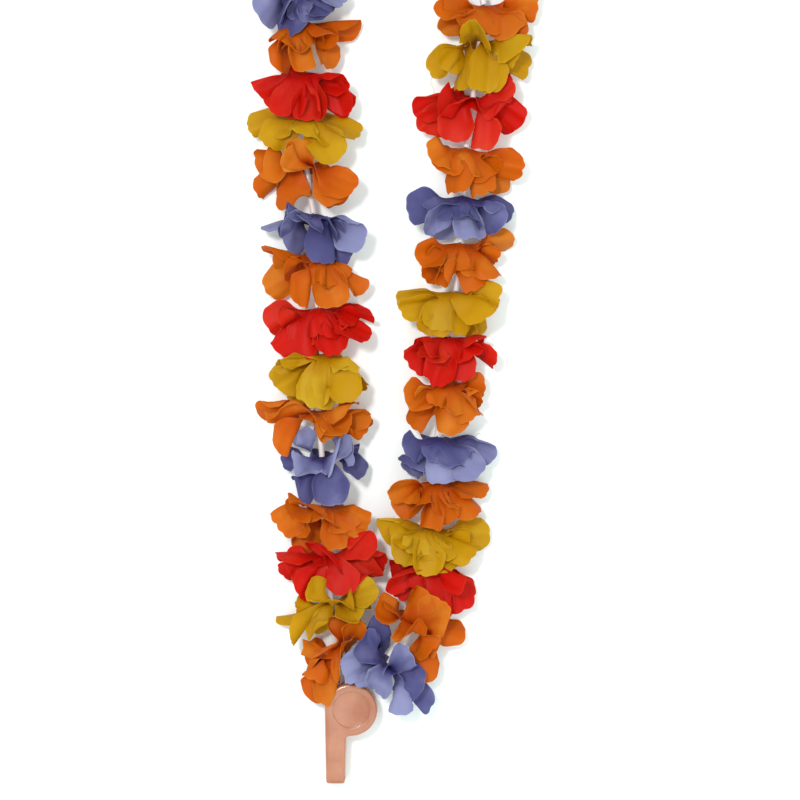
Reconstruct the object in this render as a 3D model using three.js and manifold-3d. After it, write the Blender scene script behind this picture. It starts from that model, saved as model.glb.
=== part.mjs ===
// A party lei: 35 die-cut cloth flowers and short plastic straws threaded in turn on one closed
// loop of thread, with a plain pea whistle tied on at the bottom. It lies flat on a table.
//
// Lengths are millimetres. +X is right and +Y is up the loop, as seen from above, and +Z is up.
// The origin ends up under the middle of the whole lei, on the table.

import * as THREE from 'three';
import { mergeVertices } from 'three/addons/utils/BufferGeometryUtils.js';
import Module from 'manifold-3d';

const wasm = await Module();
wasm.setup();

// ---------- driving dimensions ----------

const mmPerPixel = 0.608; // scale of the photograph, from a loop about 1 m long
const photoMiddle = { x: 394, y: 320 }; // pixel that the layout is measured from

const threadHeight = 15; // the thread's height above the table
const threadRadius = 0.5;
const strawRadius = 1.8;
const strawEndGap = 0.65; // from a flower's middle plane to the end of the next straw
const tubeSides = 8;

const petalCount = 6;
const petalLength = 33.5; // from the flower's centre to a petal's tip
const petalHalfWidth = 10.4;
const notchRadius = 12.0; // the cuts between petals stop here
const flatHubRadius = 2.6; // the cloth stays flat where the straws meet it
const hubHoleRadius = 1.0;
const cutHalfWidth = 0.8; // half the cut between two petals, at its closed end
const underFold = 0.42; // share of its length that a petal right under the thread loses in folds
const tableEase = 3.0; // over this height the cloth turns flat onto the table
const slitHalfWidth = 0.6; // half the least gap between two petals further out
const clothThickness = 0.7;
const clothGap = 0.5; // clearance kept between neighbouring flowers, on each side

const archRadius = 92 * mmPerPixel; // the top of the loop, past the photograph's edge
const archMiddle = { x: 392, y: -2 };
const archFlowerCount = 5;

const whistle = {
  chamberRadius: 16,
  thickness: 18,
  wall: 2,
  mouthpieceWidth: 13,
  mouthpieceReach: 45, // from the chamber's centre to the mouthpiece's end
  airwayWidth: 3.4,
  windowFrom: 8,
  windowTo: 11.8,
  lugRadius: 4,
  lugThickness: 3,
  lugHoleRadius: 1.3,
  lugReach: 18.4, // from the chamber's centre to the lug's hole
  edgeRound: 0.9,
  peaRadius: 4.6,
};
const chamberPixel = { x: 351, y: 710 };

const colours = {
  blue: 0x5c5781,
  orange: 0xc06428,
  red: 0xbb2b1d,
  yellow: 0xb8891b,
  straw: 0xd9b8b0,
  plastic: 0xd08f75,
  pea: 0xe0a48c,
};

// Each flower: its colour, the pixel of its centre, and the pixels of the petal tips that show.
// The left strand runs down the loop and the right strand back up.
const leftStrand = [
  ['blue', [300, -8], [[254, 14], [285, 32], [322, 27], [340, 10]]],
  ['orange', [300, 21], [[281, 69], [302, 73], [330, 66], [346, 50], [360, 28]]],
  ['red', [305, 72], [[257, 98], [282, 118], [322, 119], [352, 104], [346, 79]]],
  ['yellow', [307, 116], [[248, 121], [275, 149], [332, 160], [361, 131]]],
  ['orange', [306, 165], [[258, 160], [260, 196], [294, 141], [318, 210], [361, 184]]],
  ['blue', [313, 214], [[286, 202], [264, 228], [297, 256], [318, 260], [355, 258], [370, 230]]],
  ['orange', [315, 255], [[267, 248], [266, 290], [298, 305], [342, 308], [365, 290]]],
  ['red', [318, 308], [[267, 322], [303, 356], [342, 355], [373, 330], [371, 316]]],
  ['yellow', [322, 355], [[275, 350], [284, 397], [318, 408], [352, 401], [368, 380]]],
  ['orange', [318, 412], [[258, 407], [280, 454], [328, 446], [354, 443], [373, 425], [362, 403]]],
  ['blue', [322, 458], [[292, 433], [299, 504], [346, 500], [361, 462], [352, 436]]],
  ['orange', [322, 506], [[281, 514], [292, 544], [340, 534], [368, 520]]],
  ['red', [329, 555], [[281, 552], [294, 596], [328, 592], [383, 568], [372, 535]]],
  ['yellow', [331, 602], [[300, 578], [275, 617], [300, 640], [360, 629], [372, 584]]],
  ['orange', [338, 638], [[300, 646], [305, 690], [322, 694], [352, 654]]],
];
const rightStrand = [
  ['blue', [388, 665], [[370, 622], [342, 660], [400, 712], [432, 712], [409, 650]]],
  ['orange', [413, 625], [[374, 602], [404, 594], [446, 604], [463, 629], [424, 678]]],
  ['red', [424, 565], [[378, 586], [398, 600], [425, 561], [472, 577], [481, 601], [455, 616]]],
  ['yellow', [430, 528], [[376, 524], [399, 562], [434, 570], [474, 557], [489, 533]]],
  ['orange', [436, 482], [[387, 495], [412, 512], [440, 510], [476, 514], [488, 487]]],
  ['blue', [437, 437], [[398, 449], [414, 479], [444, 483], [484, 478], [497, 452]]],
  ['orange', [446, 382], [[406, 396], [416, 426], [450, 434], [478, 414], [478, 381]]],
  ['red', [450, 337], [[418, 336], [411, 364], [434, 384], [466, 384], [491, 362]]],
  ['yellow', [456, 292], [[398, 300], [418, 323], [455, 331], [486, 334], [501, 300]]],
  ['orange', [460, 243], [[417, 257], [434, 285], [480, 290], [495, 278], [515, 234]]],
  ['blue', [463, 196], [[410, 202], [414, 222], [430, 235], [474, 236], [498, 234], [510, 214]]],
  ['orange', [466, 148], [[430, 154], [440, 188], [476, 197], [512, 190], [522, 164]]],
  ['red', [473, 98], [[447, 89], [414, 108], [428, 137], [466, 148], [504, 144], [522, 112], [508, 77]]],
  ['yellow', [480, 40], [[453, 30], [430, 74], [458, 90], [487, 92], [528, 68], [527, 38]]],
  ['orange', [484, 5], [[437, 18], [448, 43], [486, 44], [522, 26], [539, 9]]],
];
const archColours = ['blue', 'orange', 'red', 'yellow', 'orange'];

// Where the strands come close, the line between them that no petal crosses, top to bottom.
const dividerPixels = [[392, 440], [380, 490], [371, 520], [387, 545], [385, 570], [376, 592], [370, 640],
  [356, 652], [346, 662], [344, 720]];

// ---------- small helpers ----------

// A fixed draw from 0 to 1 for each flower, petal and use.
function draw(flower, petal, use) {
  const wave = Math.sin(flower * 12.9898 + petal * 78.233 + use * 37.719) * 43758.5453;
  return wave - Math.floor(wave);
}

const spread = (flower, petal, use) => 2 * draw(flower, petal, use) - 1;
const lerp = THREE.MathUtils.lerp;
const smoothstep = THREE.MathUtils.smoothstep;
const degrees = Math.PI / 180;

// Follows x above the limit and settles on the limit below it.
function softFloor(x, limit, ease) {
  const rise = (x - limit) / ease;
  return rise > 30 ? x : limit + ease * Math.log1p(Math.exp(rise));
}

const softCeiling = (x, limit, ease) => -softFloor(-x, -limit, ease);

// Keeps x between two limits, leaving it nearly alone in the middle.
function softClamp(x, low, high) {
  const middle = (low + high) / 2;
  const half = Math.max((high - low) / 2, 0.05);
  const share = (x - middle) / half;
  return middle + (half * share) / (1 + share ** 4) ** 0.25;
}

function photoPoint([x, y]) {
  return new THREE.Vector3((x - photoMiddle.x) * mmPerPixel, (photoMiddle.y - y) * mmPerPixel, threadHeight);
}

function solid(geometry) {
  const plain = geometry.index ? geometry.toNonIndexed() : geometry.clone();
  plain.deleteAttribute('normal');
  plain.deleteAttribute('uv');
  const merged = mergeVertices(plain, 1e-4);
  return new wasm.Manifold(new wasm.Mesh({
    numProp: 3,
    vertProperties: new Float32Array(merged.attributes.position.array),
    triVerts: new Uint32Array(merged.index.array),
  }));
}

function geometryOf(manifold) {
  const mesh = manifold.getMesh();
  const geometry = new THREE.BufferGeometry();
  geometry.setAttribute('position', new THREE.BufferAttribute(mesh.vertProperties, 3));
  geometry.setIndex(new THREE.BufferAttribute(mesh.triVerts, 1));
  geometry.computeVertexNormals();
  return geometry;
}

// ---------- the loop: where each flower sits and which way the thread runs through it ----------

const tiePoint = photoPoint([chamberPixel.x, chamberPixel.y]);
tiePoint.y += whistle.lugReach + 2.6;
tiePoint.z = whistle.thickness / 2 + 2.9;

function layOutFlowers() {
  const flowers = [...leftStrand, ...rightStrand].map(([colour, centre, tips]) => ({
    colour,
    centre: photoPoint(centre),
    tips: tips.map(photoPoint),
  }));
  for (let i = 0; i < archFlowerCount; i += 1) {
    const turn = (Math.PI * (i + 1)) / (archFlowerCount + 1);
    const centre = photoPoint([archMiddle.x, archMiddle.y]);
    centre.x += archRadius * Math.cos(turn);
    centre.y += archRadius * Math.sin(turn);
    flowers.push({ colour: archColours[i], centre, tips: [] });
  }
  const count = flowers.length;
  const lastLeft = leftStrand.length - 1;
  flowers.forEach((flower, i) => {
    const before = i === lastLeft + 1 ? tiePoint : flowers[(i + count - 1) % count].centre;
    const after = i === lastLeft ? tiePoint : flowers[(i + 1) % count].centre;
    const arriving = flower.centre.clone().sub(before).setZ(0);
    const leaving = after.clone().sub(flower.centre).setZ(0);
    const run = (arriving.length() + leaving.length()) / 2;
    const turn = Math.asin(arriving.clone().normalize().cross(leaving.clone().normalize()).z);
    flower.along = arriving.normalize().add(leaving.normalize()).normalize();
    flower.outward = new THREE.Vector3().crossVectors(flower.along, new THREE.Vector3(0, 0, 1));
    flower.curvature = Math.abs(i - lastLeft - 0.5) < 2 ? 0 : turn / run;
    flower.halfBend = Math.abs(turn) / 2;
    flower.strand = i < leftStrand.length ? 'left' : i < count - archFlowerCount ? 'right' : 'arch';
    flower.index = i;
  });
  return flowers;
}

// A point given along the thread, out from the loop and up from the thread, bent with the thread.
function placeByFlower(flower, along, out, up) {
  const point = flower.centre.clone();
  point.z += up;
  if (Math.abs(flower.curvature) < 1e-5) {
    return point.addScaledVector(flower.along, along).addScaledVector(flower.outward, out);
  }
  const radius = 1 / flower.curvature;
  const turn = along * flower.curvature;
  return point.addScaledVector(flower.outward, (radius + out) * Math.cos(turn) - radius)
    .addScaledVector(flower.along, (radius + out) * Math.sin(turn));
}

// ---------- petals: their bearing round the thread, lean along it, twist and cup ----------

const reachLimit = petalLength * 0.97;
const leastApart = 38 * degrees;

function seenPetal(flower, tip, number) {
  const offset = tip.clone().sub(flower.centre).setZ(0);
  offset.clampLength(0, reachLimit);
  const out = offset.dot(flower.outward);
  const along = offset.dot(flower.along);
  const up = Math.sqrt(petalLength ** 2 - out ** 2 - along ** 2);
  return petalShape(flower, number, Math.atan2(up, out), along);
}

function petalShape(flower, number, bearing, along) {
  const lean = Math.asin(THREE.MathUtils.clamp(along / (petalLength * 0.84), -0.96, 0.96));
  const side = Math.abs(Math.cos(bearing));
  const turnWay = spread(flower.index, number, 1) < 0 ? -1 : 1;
  const under = Math.max(0, -Math.sin(bearing)); // a petal under the thread is folded short
  return {
    bearing,
    lean,
    twist: turnWay * (0.15 + 0.75 * side) * (0.8 + 0.4 * draw(flower.index, number, 2)),
    cup: 2.2 * spread(flower.index, number, 3) * (1 - 0.8 * under),
    wave: 1.1 * (1 - 0.8 * under),
    ripple: 6.28 * draw(flower.index, number, 4),
    length: petalLength * (1 - 0.05 * draw(flower.index, number, 5)) * (1 - underFold * under ** 2),
  };
}

function petalsOf(flower) {
  const petals = flower.tips.slice(0, petalCount).map((tip, k) => seenPetal(flower, tip, k));
  petals.sort((a, b) => a.bearing - b.bearing);
  const seen = petals.length;
  const first = seen ? petals[0].bearing : 2 * Math.PI * draw(flower.index, 0, 6);
  const last = seen ? petals[seen - 1].bearing : first - (2 * Math.PI) / petalCount;
  const hidden = petalCount - seen;
  const step = (first + 2 * Math.PI - last) / (hidden + 1);
  for (let k = 0; k < hidden; k += 1) {
    const along = (seen ? 11 : 13) * spread(flower.index, k, 7);
    petals.push(petalShape(flower, seen + k, last + step * (k + 1), along));
  }
  // Petals that point nearly the same way are eased apart; those out at the sides give way most.
  for (let round = 0; round < 60; round += 1) {
    for (let k = 0; k < petalCount; k += 1) {
      const one = petals[k];
      const next = petals[(k + 1) % petalCount];
      const wrap = k === petalCount - 1 ? 2 * Math.PI : 0;
      const short = leastApart - (next.bearing + wrap - one.bearing);
      if (short > 0) {
        const oneGives = 1 / (0.25 + Math.abs(Math.sin(one.bearing)));
        const nextGives = 1 / (0.25 + Math.abs(Math.sin(next.bearing)));
        one.bearing -= (short * oneGives) / (oneGives + nextGives);
        next.bearing += (short * nextGives) / (oneGives + nextGives);
      }
    }
  }
  const even = (2 * Math.PI) / petalCount;
  const turned = petals.reduce((sum, petal, k) => sum + petal.bearing - even * k, 0) / petalCount;
  petals.forEach((petal, k) => {
    petal.rootBearing = turned + even * k;
  });
  return petals;
}

// A petal's middle line at a distance from the flower's centre along the cloth.
function middleLine(petal, distance) {
  const past = Math.max(0, distance - flatHubRadius);
  const bendLength = 6;
  const bent = Math.min(past, bendLength);
  const rate = petal.lean / bendLength;
  const straight = past - bent;
  const turned = rate * bent;
  const out = Math.abs(rate) < 1e-4 ? bent : Math.sin(turned) / rate;
  const along = Math.abs(rate) < 1e-4 ? 0 : (1 - Math.cos(turned)) / rate;
  return {
    radius: Math.min(distance, flatHubRadius) + out + straight * Math.cos(turned),
    along: along + straight * Math.sin(turned),
    lean: turned,
  };
}

function bearingAt(petal, radius) {
  return lerp(petal.rootBearing, petal.bearing, smoothstep(radius, 4, 16));
}

// How far the cloth of a whole flower leans along the thread at a radius and bearing, smoothly
// carried from petal to petal. Near the table every flower keeps to its own stretch of thread.
function leanField(flower, radius, bearing) {
  const petals = flower.petals;
  const turns = petals.map((petal) => bearingAt(petal, radius));
  const from = turns[0];
  const local = from + THREE.MathUtils.euclideanModulo(bearing - from, 2 * Math.PI);
  let k = petalCount - 1;
  while (k > 0 && turns[k] > local) k -= 1;
  const next = (k + 1) % petalCount;
  const nextTurn = next === 0 ? turns[0] + 2 * Math.PI : turns[next];
  const share = smoothstep(local, turns[k], nextTurn);
  const leanOf = (petal) => {
    const slope = Math.tan(petal.lean);
    const most = Math.abs(petal.length * Math.sin(petal.lean));
    return THREE.MathUtils.clamp(slope * Math.max(0, radius - flatHubRadius - 2), -most, most);
  };
  const lean = lerp(leanOf(petals[k]), leanOf(petals[next]), share);
  const height = radius * Math.sin(bearing) + threadHeight;
  return lean * smoothstep(height, -3, 6);
}

// The stretch along the thread that this flower may use at a radius and bearing.
function ownStretch(flower, flowers, radius, bearing) {
  const own = leanField(flower, radius, bearing);
  const room = (other, run) => {
    const theirs = leanField(other, radius, bearing);
    const slope = Math.max(Math.abs(own), Math.abs(theirs)) / (radius + 4);
    return { middle: (own + theirs) / 2, slope, run };
  };
  const count = flowers.length;
  const before = flowers[(flower.index + count - 1) % count];
  const after = flowers[(flower.index + 1) % count];
  const back = room(before, flower.centre.distanceTo(before.centre));
  const front = room(after, after.centre.distanceTo(flower.centre));
  const margin = ({ slope }) => (clothGap + clothThickness / 2) * Math.sqrt(1 + 1.6 * slope * slope);
  return {
    low: back.middle - back.run / 2 + margin(back),
    high: front.middle + front.run / 2 - margin(front),
  };
}

// ---------- the cloth of one flower, as a sheet of points and then a thin solid ----------

// The line between the strands at a height up the loop.
function dividerAt(y) {
  const points = dividerPixels.map(photoPoint);
  if (y >= points[0].y) return null;
  for (let k = 1; k < points.length; k += 1) {
    if (y >= points[k].y) {
      const share = (points[k - 1].y - y) / (points[k - 1].y - points[k].y);
      return lerp(points[k - 1].x, points[k].x, share);
    }
  }
  return points[points.length - 1].x;
}

// A point of petal k at a distance along its middle and a share across it, from -1 to 1.
function clothPoint(flower, flowers, k, distance, across, halfWidth) {
  const petal = flower.petals[k];
  const outer = smoothstep(distance, notchRadius * 0.7, notchRadius * 1.8);
  const line = middleLine(petal, distance);
  const width = halfWidth * across;
  const twist = petal.twist * outer;
  const edge = across * across;
  const ripple = petal.wave * edge * Math.sin(distance * 0.45 + petal.ripple);
  const wave = outer * (petal.cup * (edge - 0.35) + ripple);
  const lift = width * Math.sin(twist) + wave;
  const inward = lift * Math.sin(line.lean);
  const along = line.along + lift * Math.cos(line.lean);
  const radial = Math.max(line.radius - inward, flatHubRadius);
  let radius = Math.hypot(radial, width * Math.cos(twist));
  let turn = Math.atan2(width * Math.cos(twist), radial);

  // Petals of one flower keep to their own sector round the thread.
  const own = bearingAt(petal, radius);
  const sector = (other, wrap) => Math.abs(bearingAt(other, radius) + wrap - own) / 2;
  const nextPetal = flower.petals[(k + 1) % petalCount];
  const lastPetal = flower.petals[(k + petalCount - 1) % petalCount];
  const slit = (slitHalfWidth + clothThickness * 0.6) / radius;
  const ahead = sector(nextPetal, k === petalCount - 1 ? 2 * Math.PI : 0) - slit;
  const behind = sector(lastPetal, k === 0 ? -2 * Math.PI : 0) - slit;
  turn = softClamp(turn, -behind, ahead);
  return settle(flower, flowers, radius, own + turn, along);
}

// Fits a point of cloth between its neighbours, the table and the other strand.
function settle(flower, flowers, radius, bearing, along) {
  let fitted = along;
  if (radius > flatHubRadius + 0.5) {
    const stretch = ownStretch(flower, flowers, radius, bearing);
    fitted = softClamp(along, stretch.low, stretch.high);
  }
  const table = -threadHeight + clothThickness / 2 + 0.1;
  const up = softFloor(radius * Math.sin(bearing), table, tableEase);
  const point = placeByFlower(flower, fitted, radius * Math.cos(bearing), up);
  const divider = flower.strand === 'arch' ? null : dividerAt(point.y);
  if (divider !== null) {
    const clear = clothGap + clothThickness / 2;
    point.x = flower.strand === 'left'
      ? softCeiling(point.x, divider - clear, 2.5)
      : softFloor(point.x, divider + clear, 2.5);
  }
  return point;
}

// The die-cut outline past the notches: each row's share of the way to the tip, its share of the
// petal's half width, and how much further the middle of the row reaches.
const petalRows = [
  { share: 0.42, width: 0.97, bulge: 0 },
  { share: 0.8, width: 0.99, bulge: 0 },
  { share: 0.965, width: 0.55, bulge: 0.035 },
];

function flowerSheet(flower, flowers) {
  const points = [];
  const faces = [];
  const rim = [];
  const add = (point) => points.push(point) - 1;

  const ring = (radius) => flower.petals.map((petal) => {
    const bearing = petal.rootBearing;
    return add(placeByFlower(flower, 0, radius * Math.cos(bearing), radius * Math.sin(bearing)));
  });
  const hole = ring(hubHoleRadius);
  const hub = ring(flatHubRadius);
  const roots = flower.petals.map((petal, k) => add(clothPoint(flower, flowers, k, notchRadius, 0, 0)));
  // Between two petals the cut ends in a short edge: the corner of one petal, then of the next.
  const corner = (k, side) => {
    const next = flower.petals[(k + 1) % petalCount];
    const [one, two] = [middleLine(flower.petals[k], notchRadius), middleLine(next, notchRadius)];
    const radius = ((one.radius + two.radius) / 2) * 0.98;
    const wrap = k === petalCount - 1 ? 2 * Math.PI : 0;
    const bearing = (bearingAt(flower.petals[k], radius) + bearingAt(next, radius) + wrap) / 2;
    const along = lerp(one.along, two.along, 0.5 + 0.15 * side);
    return add(settle(flower, flowers, radius, bearing + (side * cutHalfWidth) / radius, along));
  };
  const ends = flower.petals.map((petal, k) => corner(k, -1));
  const starts = flower.petals.map((petal, k) => corner(k, 1));

  for (let k = 0; k < petalCount; k += 1) {
    const next = (k + 1) % petalCount;
    const last = (k + petalCount - 1) % petalCount;
    faces.push([hole[k], hub[k], hub[next]], [hole[k], hub[next], hole[next]]);
    faces.push([hub[k], roots[k], ends[k]], [hub[k], ends[k], hub[next]]);
    faces.push([hub[next], ends[k], starts[k]], [hub[next], starts[k], roots[next]]);
    rim.push([hole[next], hole[k]], [ends[k], starts[k]]);

    let before = [starts[last], roots[k], ends[k]];
    petalRows.forEach(({ share, width, bulge }) => {
      const length = flower.petals[k].length;
      const row = [-1, 0, 1].map((across) => {
        const past = share + bulge * (1 - across * across);
        const distance = lerp(notchRadius, length, past);
        return add(clothPoint(flower, flowers, k, distance, across, petalHalfWidth * width));
      });
      for (let j = 0; j < 2; j += 1) {
        faces.push([before[j], row[j], row[j + 1]], [before[j], row[j + 1], before[j + 1]]);
      }
      rim.push([before[0], row[0]], [row[2], before[2]]);
      before = row;
    });
    rim.push([before[0], before[1]], [before[1], before[2]]);
  }
  return { points, faces, rim };
}

// The way a corner of the sheet is moved to thicken it: as near as can be to what all the faces
// round it look, so that in a sharp fold the two faces of the cloth don't cross.
function outwardAt(looks) {
  const normal = looks.reduce((sum, look) => sum.add(look), new THREE.Vector3()).normalize();
  for (let round = 0; round < 30; round += 1) {
    const worst = looks.reduce((low, look) => (look.dot(normal) < low.dot(normal) ? look : low));
    normal.addScaledVector(worst, 0.2).normalize();
  }
  return normal;
}

// Gives a sheet its thickness: the same triangles on both faces, and a band round every free edge.
function thicken({ points, faces, rim }, thickness) {
  const looks = points.map(() => []);
  faces.forEach(([a, b, c]) => {
    const one = points[b].clone().sub(points[a]);
    const look = one.cross(points[c].clone().sub(points[a])).normalize();
    [a, b, c].forEach((index) => looks[index].push(look));
  });
  const normals = looks.map(outwardAt);
  const position = [];
  [0.5, -0.5].forEach((side) => {
    points.forEach((point, i) => {
      const moved = point.clone().addScaledVector(normals[i], side * thickness);
      position.push(moved.x, moved.y, moved.z);
    });
  });
  const count = points.length;
  const index = [];
  faces.forEach(([a, b, c]) => index.push(a, b, c, a + count, c + count, b + count));
  rim.forEach(([a, b]) => index.push(b, a, a + count, b, a + count, b + count));
  const geometry = new THREE.BufferGeometry();
  geometry.setAttribute('position', new THREE.Float32BufferAttribute(position, 3));
  geometry.setIndex(index);
  geometry.computeVertexNormals();
  return geometry;
}

// ---------- the thread, with its straws, tied at the bottom ----------

function ringAt(centre, direction, radius) {
  const side = new THREE.Vector3(0, 0, 1).cross(direction).normalize();
  const up = new THREE.Vector3().crossVectors(direction, side).normalize();
  return Array.from({ length: tubeSides }, (unused, k) => {
    const turn = (2 * Math.PI * (k + 0.5)) / tubeSides;
    return centre.clone().addScaledVector(side, radius * Math.cos(turn))
      .addScaledVector(up, radius * Math.sin(turn));
  });
}

function makeThread(flowers) {
  const bendThatShows = 5 * degrees;
  const stops = flowers.map((flower) => (
    { point: flower.centre, bend: flower.halfBend, along: flower.along, bare: false }
  ));
  stops.splice(leftStrand.length, 0, { point: tiePoint, bend: 0, bare: true });
  const rings = [];
  stops.forEach((stop, i) => {
    const next = stops[(i + 1) % stops.length];
    const direction = next.point.clone().sub(stop.point).normalize();
    const length = next.point.distanceTo(stop.point);
    const gapAfter = (bend) => strawEndGap + 1.4 * strawRadius * Math.sin(bend);
    const start = stop.point.clone().addScaledVector(direction, gapAfter(stop.bend));
    const end = stop.point.clone().addScaledVector(direction, length - gapAfter(next.bend));
    if (stop.bend > bendThatShows) rings.push(ringAt(stop.point, stop.along, threadRadius));
    rings.push(ringAt(start, direction, threadRadius));
    if (!stop.bare && !next.bare) {
      rings.push(ringAt(start, direction, strawRadius), ringAt(end, direction, strawRadius));
    }
    rings.push(ringAt(end, direction, threadRadius));
  });
  const position = rings.flat().flatMap((point) => [point.x, point.y, point.z]);
  const index = [];
  for (let i = 0; i < rings.length; i += 1) {
    const here = i * tubeSides;
    const there = ((i + 1) % rings.length) * tubeSides;
    for (let k = 0; k < tubeSides; k += 1) {
      const next = (k + 1) % tubeSides;
      index.push(here + k, here + next, there + next, here + k, there + next, there + k);
    }
  }
  const string = new THREE.BufferGeometry();
  string.setAttribute('position', new THREE.Float32BufferAttribute(position, 3));
  string.setIndex(index);

  const loopRadius = 2.9;
  const loop = new THREE.TorusGeometry(loopRadius, threadRadius, tubeSides, 20);
  loop.rotateY(Math.PI / 2);
  loop.translate(tiePoint.x, tiePoint.y, tiePoint.z - loopRadius);
  const knot = new THREE.SphereGeometry(1.4, 10, 8);
  knot.translate(tiePoint.x, tiePoint.y, tiePoint.z + 0.3);
  return geometryOf(solid(string).add(solid(loop)).add(solid(knot)));
}

// ---------- the whistle, lying on its flat side ----------

function whistleOutline() {
  const { chamberRadius: radius, mouthpieceWidth, mouthpieceReach, edgeRound } = whistle;
  const shape = new THREE.Shape();
  const inner = -radius + mouthpieceWidth;
  const meets = Math.asin(inner / radius);
  shape.moveTo(-radius, 0);
  shape.lineTo(-radius + 0.8, -mouthpieceReach + edgeRound);
  shape.lineTo(-radius + 2.2, -mouthpieceReach);
  shape.lineTo(inner - 2.2, -mouthpieceReach);
  shape.lineTo(inner - 0.8, -mouthpieceReach + edgeRound);
  shape.lineTo(inner, -Math.sqrt(radius ** 2 - inner ** 2));
  shape.absarc(0, 0, radius, meets - Math.PI / 2, Math.PI, false);
  return shape;
}

function extruded(shape, bottom, top, round) {
  const geometry = new THREE.ExtrudeGeometry(shape, {
    depth: top - bottom - 2 * round,
    bevelEnabled: round > 0,
    bevelThickness: round,
    bevelSize: round,
    bevelOffset: -round,
    bevelSegments: 1,
    curveSegments: 32,
  });
  geometry.translate(0, 0, bottom + round);
  return solid(geometry);
}

function block(x0, x1, y0, y1, z0, z1) {
  const geometry = new THREE.BoxGeometry(x1 - x0, y1 - y0, z1 - z0);
  geometry.translate((x0 + x1) / 2, (y0 + y1) / 2, (z0 + z1) / 2);
  return solid(geometry);
}

function disc(radius, x, y, bottom, top) {
  const geometry = new THREE.CylinderGeometry(radius, radius, top - bottom, 32);
  geometry.rotateX(Math.PI / 2);
  geometry.translate(x, y, (bottom + top) / 2);
  return solid(geometry);
}

function makeWhistle() {
  const { chamberRadius, thickness, wall, mouthpieceReach, airwayWidth } = whistle;
  const { lugRadius, lugThickness, lugReach, lugHoleRadius, edgeRound, windowFrom, windowTo } = whistle;
  const middle = thickness / 2;
  const airLow = wall + 1.2;
  const airHigh = thickness - wall - 1.2;
  const airRight = -chamberRadius + wall + airwayWidth;

  let body = extruded(whistleOutline(), 0, thickness, edgeRound);
  const lugLow = middle - lugThickness / 2;
  const lugHigh = middle + lugThickness / 2;
  body = body.add(disc(lugRadius, 0, lugReach, lugLow, lugHigh));
  body = body.add(block(-lugRadius, lugRadius, chamberRadius - 2, lugReach, lugLow, lugHigh));
  body = body.subtract(disc(lugHoleRadius, 0, lugReach, lugLow - 1, lugHigh + 1));
  body = body.subtract(disc(chamberRadius - wall, 0, 0, wall, thickness - wall));
  const airLeft = -chamberRadius + wall;
  body = body.subtract(block(airLeft, airRight, -mouthpieceReach - 1, -windowFrom, airLow, airHigh));
  body = body.subtract(block(-chamberRadius - 1, airRight, -windowTo, -windowFrom, airLow, airHigh));
  return geometryOf(body);
}

function makePea() {
  const geometry = new THREE.SphereGeometry(whistle.peaRadius, 12, 9);
  geometry.deleteAttribute('normal');
  geometry.deleteAttribute('uv');
  const pea = mergeVertices(geometry);
  pea.computeVertexNormals();
  return pea;
}

// ---------- the whole lei ----------

const finish = (colour, roughness) => new THREE.MeshStandardMaterial({ color: colours[colour], roughness });
const cloth = (colour) => finish(colour, 0.6);
const plastic = (colour) => finish(colour, 0.25);

const lei = new THREE.Group();

function addMesh(name, geometry, material, position) {
  const mesh = new THREE.Mesh(geometry, material);
  mesh.name = name;
  if (position) mesh.position.copy(position);
  lei.add(mesh);
}

const flowers = layOutFlowers();
flowers.forEach((flower) => {
  flower.petals = petalsOf(flower);
});
flowers.forEach((flower) => {
  const name = `flower_${String(flower.index + 1).padStart(2, '0')}_${flower.colour}`;
  addMesh(name, thicken(flowerSheet(flower, flowers), clothThickness), cloth(flower.colour));
});
addMesh('thread_with_straws', makeThread(flowers), plastic('straw'));

const chamberCentre = photoPoint([chamberPixel.x, chamberPixel.y]).setZ(0);
addMesh('whistle_body', makeWhistle(), plastic('plastic'), chamberCentre);
const peaRest = new THREE.Vector3(-3.5, -5, whistle.wall + whistle.peaRadius + 0.3);
addMesh('whistle_pea', makePea(), plastic('pea'), peaRest.add(chamberCentre));

// The lei is centred over the origin and stands on the table.
const box = new THREE.Box3().setFromObject(lei);
const middle = box.getCenter(new THREE.Vector3());
lei.position.set(-middle.x, -middle.y, -box.min.z);

export default lei;
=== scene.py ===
# A party lei of die-cut cloth flowers and short straws on one loop of thread, with a plain pea whistle.
# The flowers are worked out in millimetres and turned to metres when a mesh is made.

import math
from types import SimpleNamespace

import bpy
import numpy as np
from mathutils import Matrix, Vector


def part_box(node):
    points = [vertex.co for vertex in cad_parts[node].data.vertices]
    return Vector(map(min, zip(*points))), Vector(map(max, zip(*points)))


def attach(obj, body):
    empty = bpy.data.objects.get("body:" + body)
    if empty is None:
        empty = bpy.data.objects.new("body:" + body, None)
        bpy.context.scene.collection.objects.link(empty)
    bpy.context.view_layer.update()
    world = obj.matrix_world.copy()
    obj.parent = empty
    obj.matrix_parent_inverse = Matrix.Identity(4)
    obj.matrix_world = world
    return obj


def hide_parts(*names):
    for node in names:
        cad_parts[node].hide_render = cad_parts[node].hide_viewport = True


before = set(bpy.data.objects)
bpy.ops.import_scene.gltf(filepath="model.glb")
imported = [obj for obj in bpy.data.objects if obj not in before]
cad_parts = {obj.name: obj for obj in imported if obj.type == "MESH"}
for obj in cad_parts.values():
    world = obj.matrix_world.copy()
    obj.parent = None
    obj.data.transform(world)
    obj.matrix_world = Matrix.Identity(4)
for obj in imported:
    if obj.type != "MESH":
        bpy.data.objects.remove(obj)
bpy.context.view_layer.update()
mm = 0.001

layout = {
    "mmPerPixel": 0.608,         # scale of the photograph
    "chamberPixel": (351, 710),  # the middle of the whistle's chamber
    "mouthpieceReach": 45.0,     # from there to the mouthpiece's end
    "threadHeight": 15.0,
    "tieRise": 21.0,             # from the chamber's middle to the knot
    "tieHeight": 11.9,
    "archPixel": (392, -2),      # the middle of the arch that closes the loop past the photograph's edge
    "archRadius": 56.0,
    "archColours": ["blue", "orange", "red", "yellow", "orange"],
}

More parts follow.
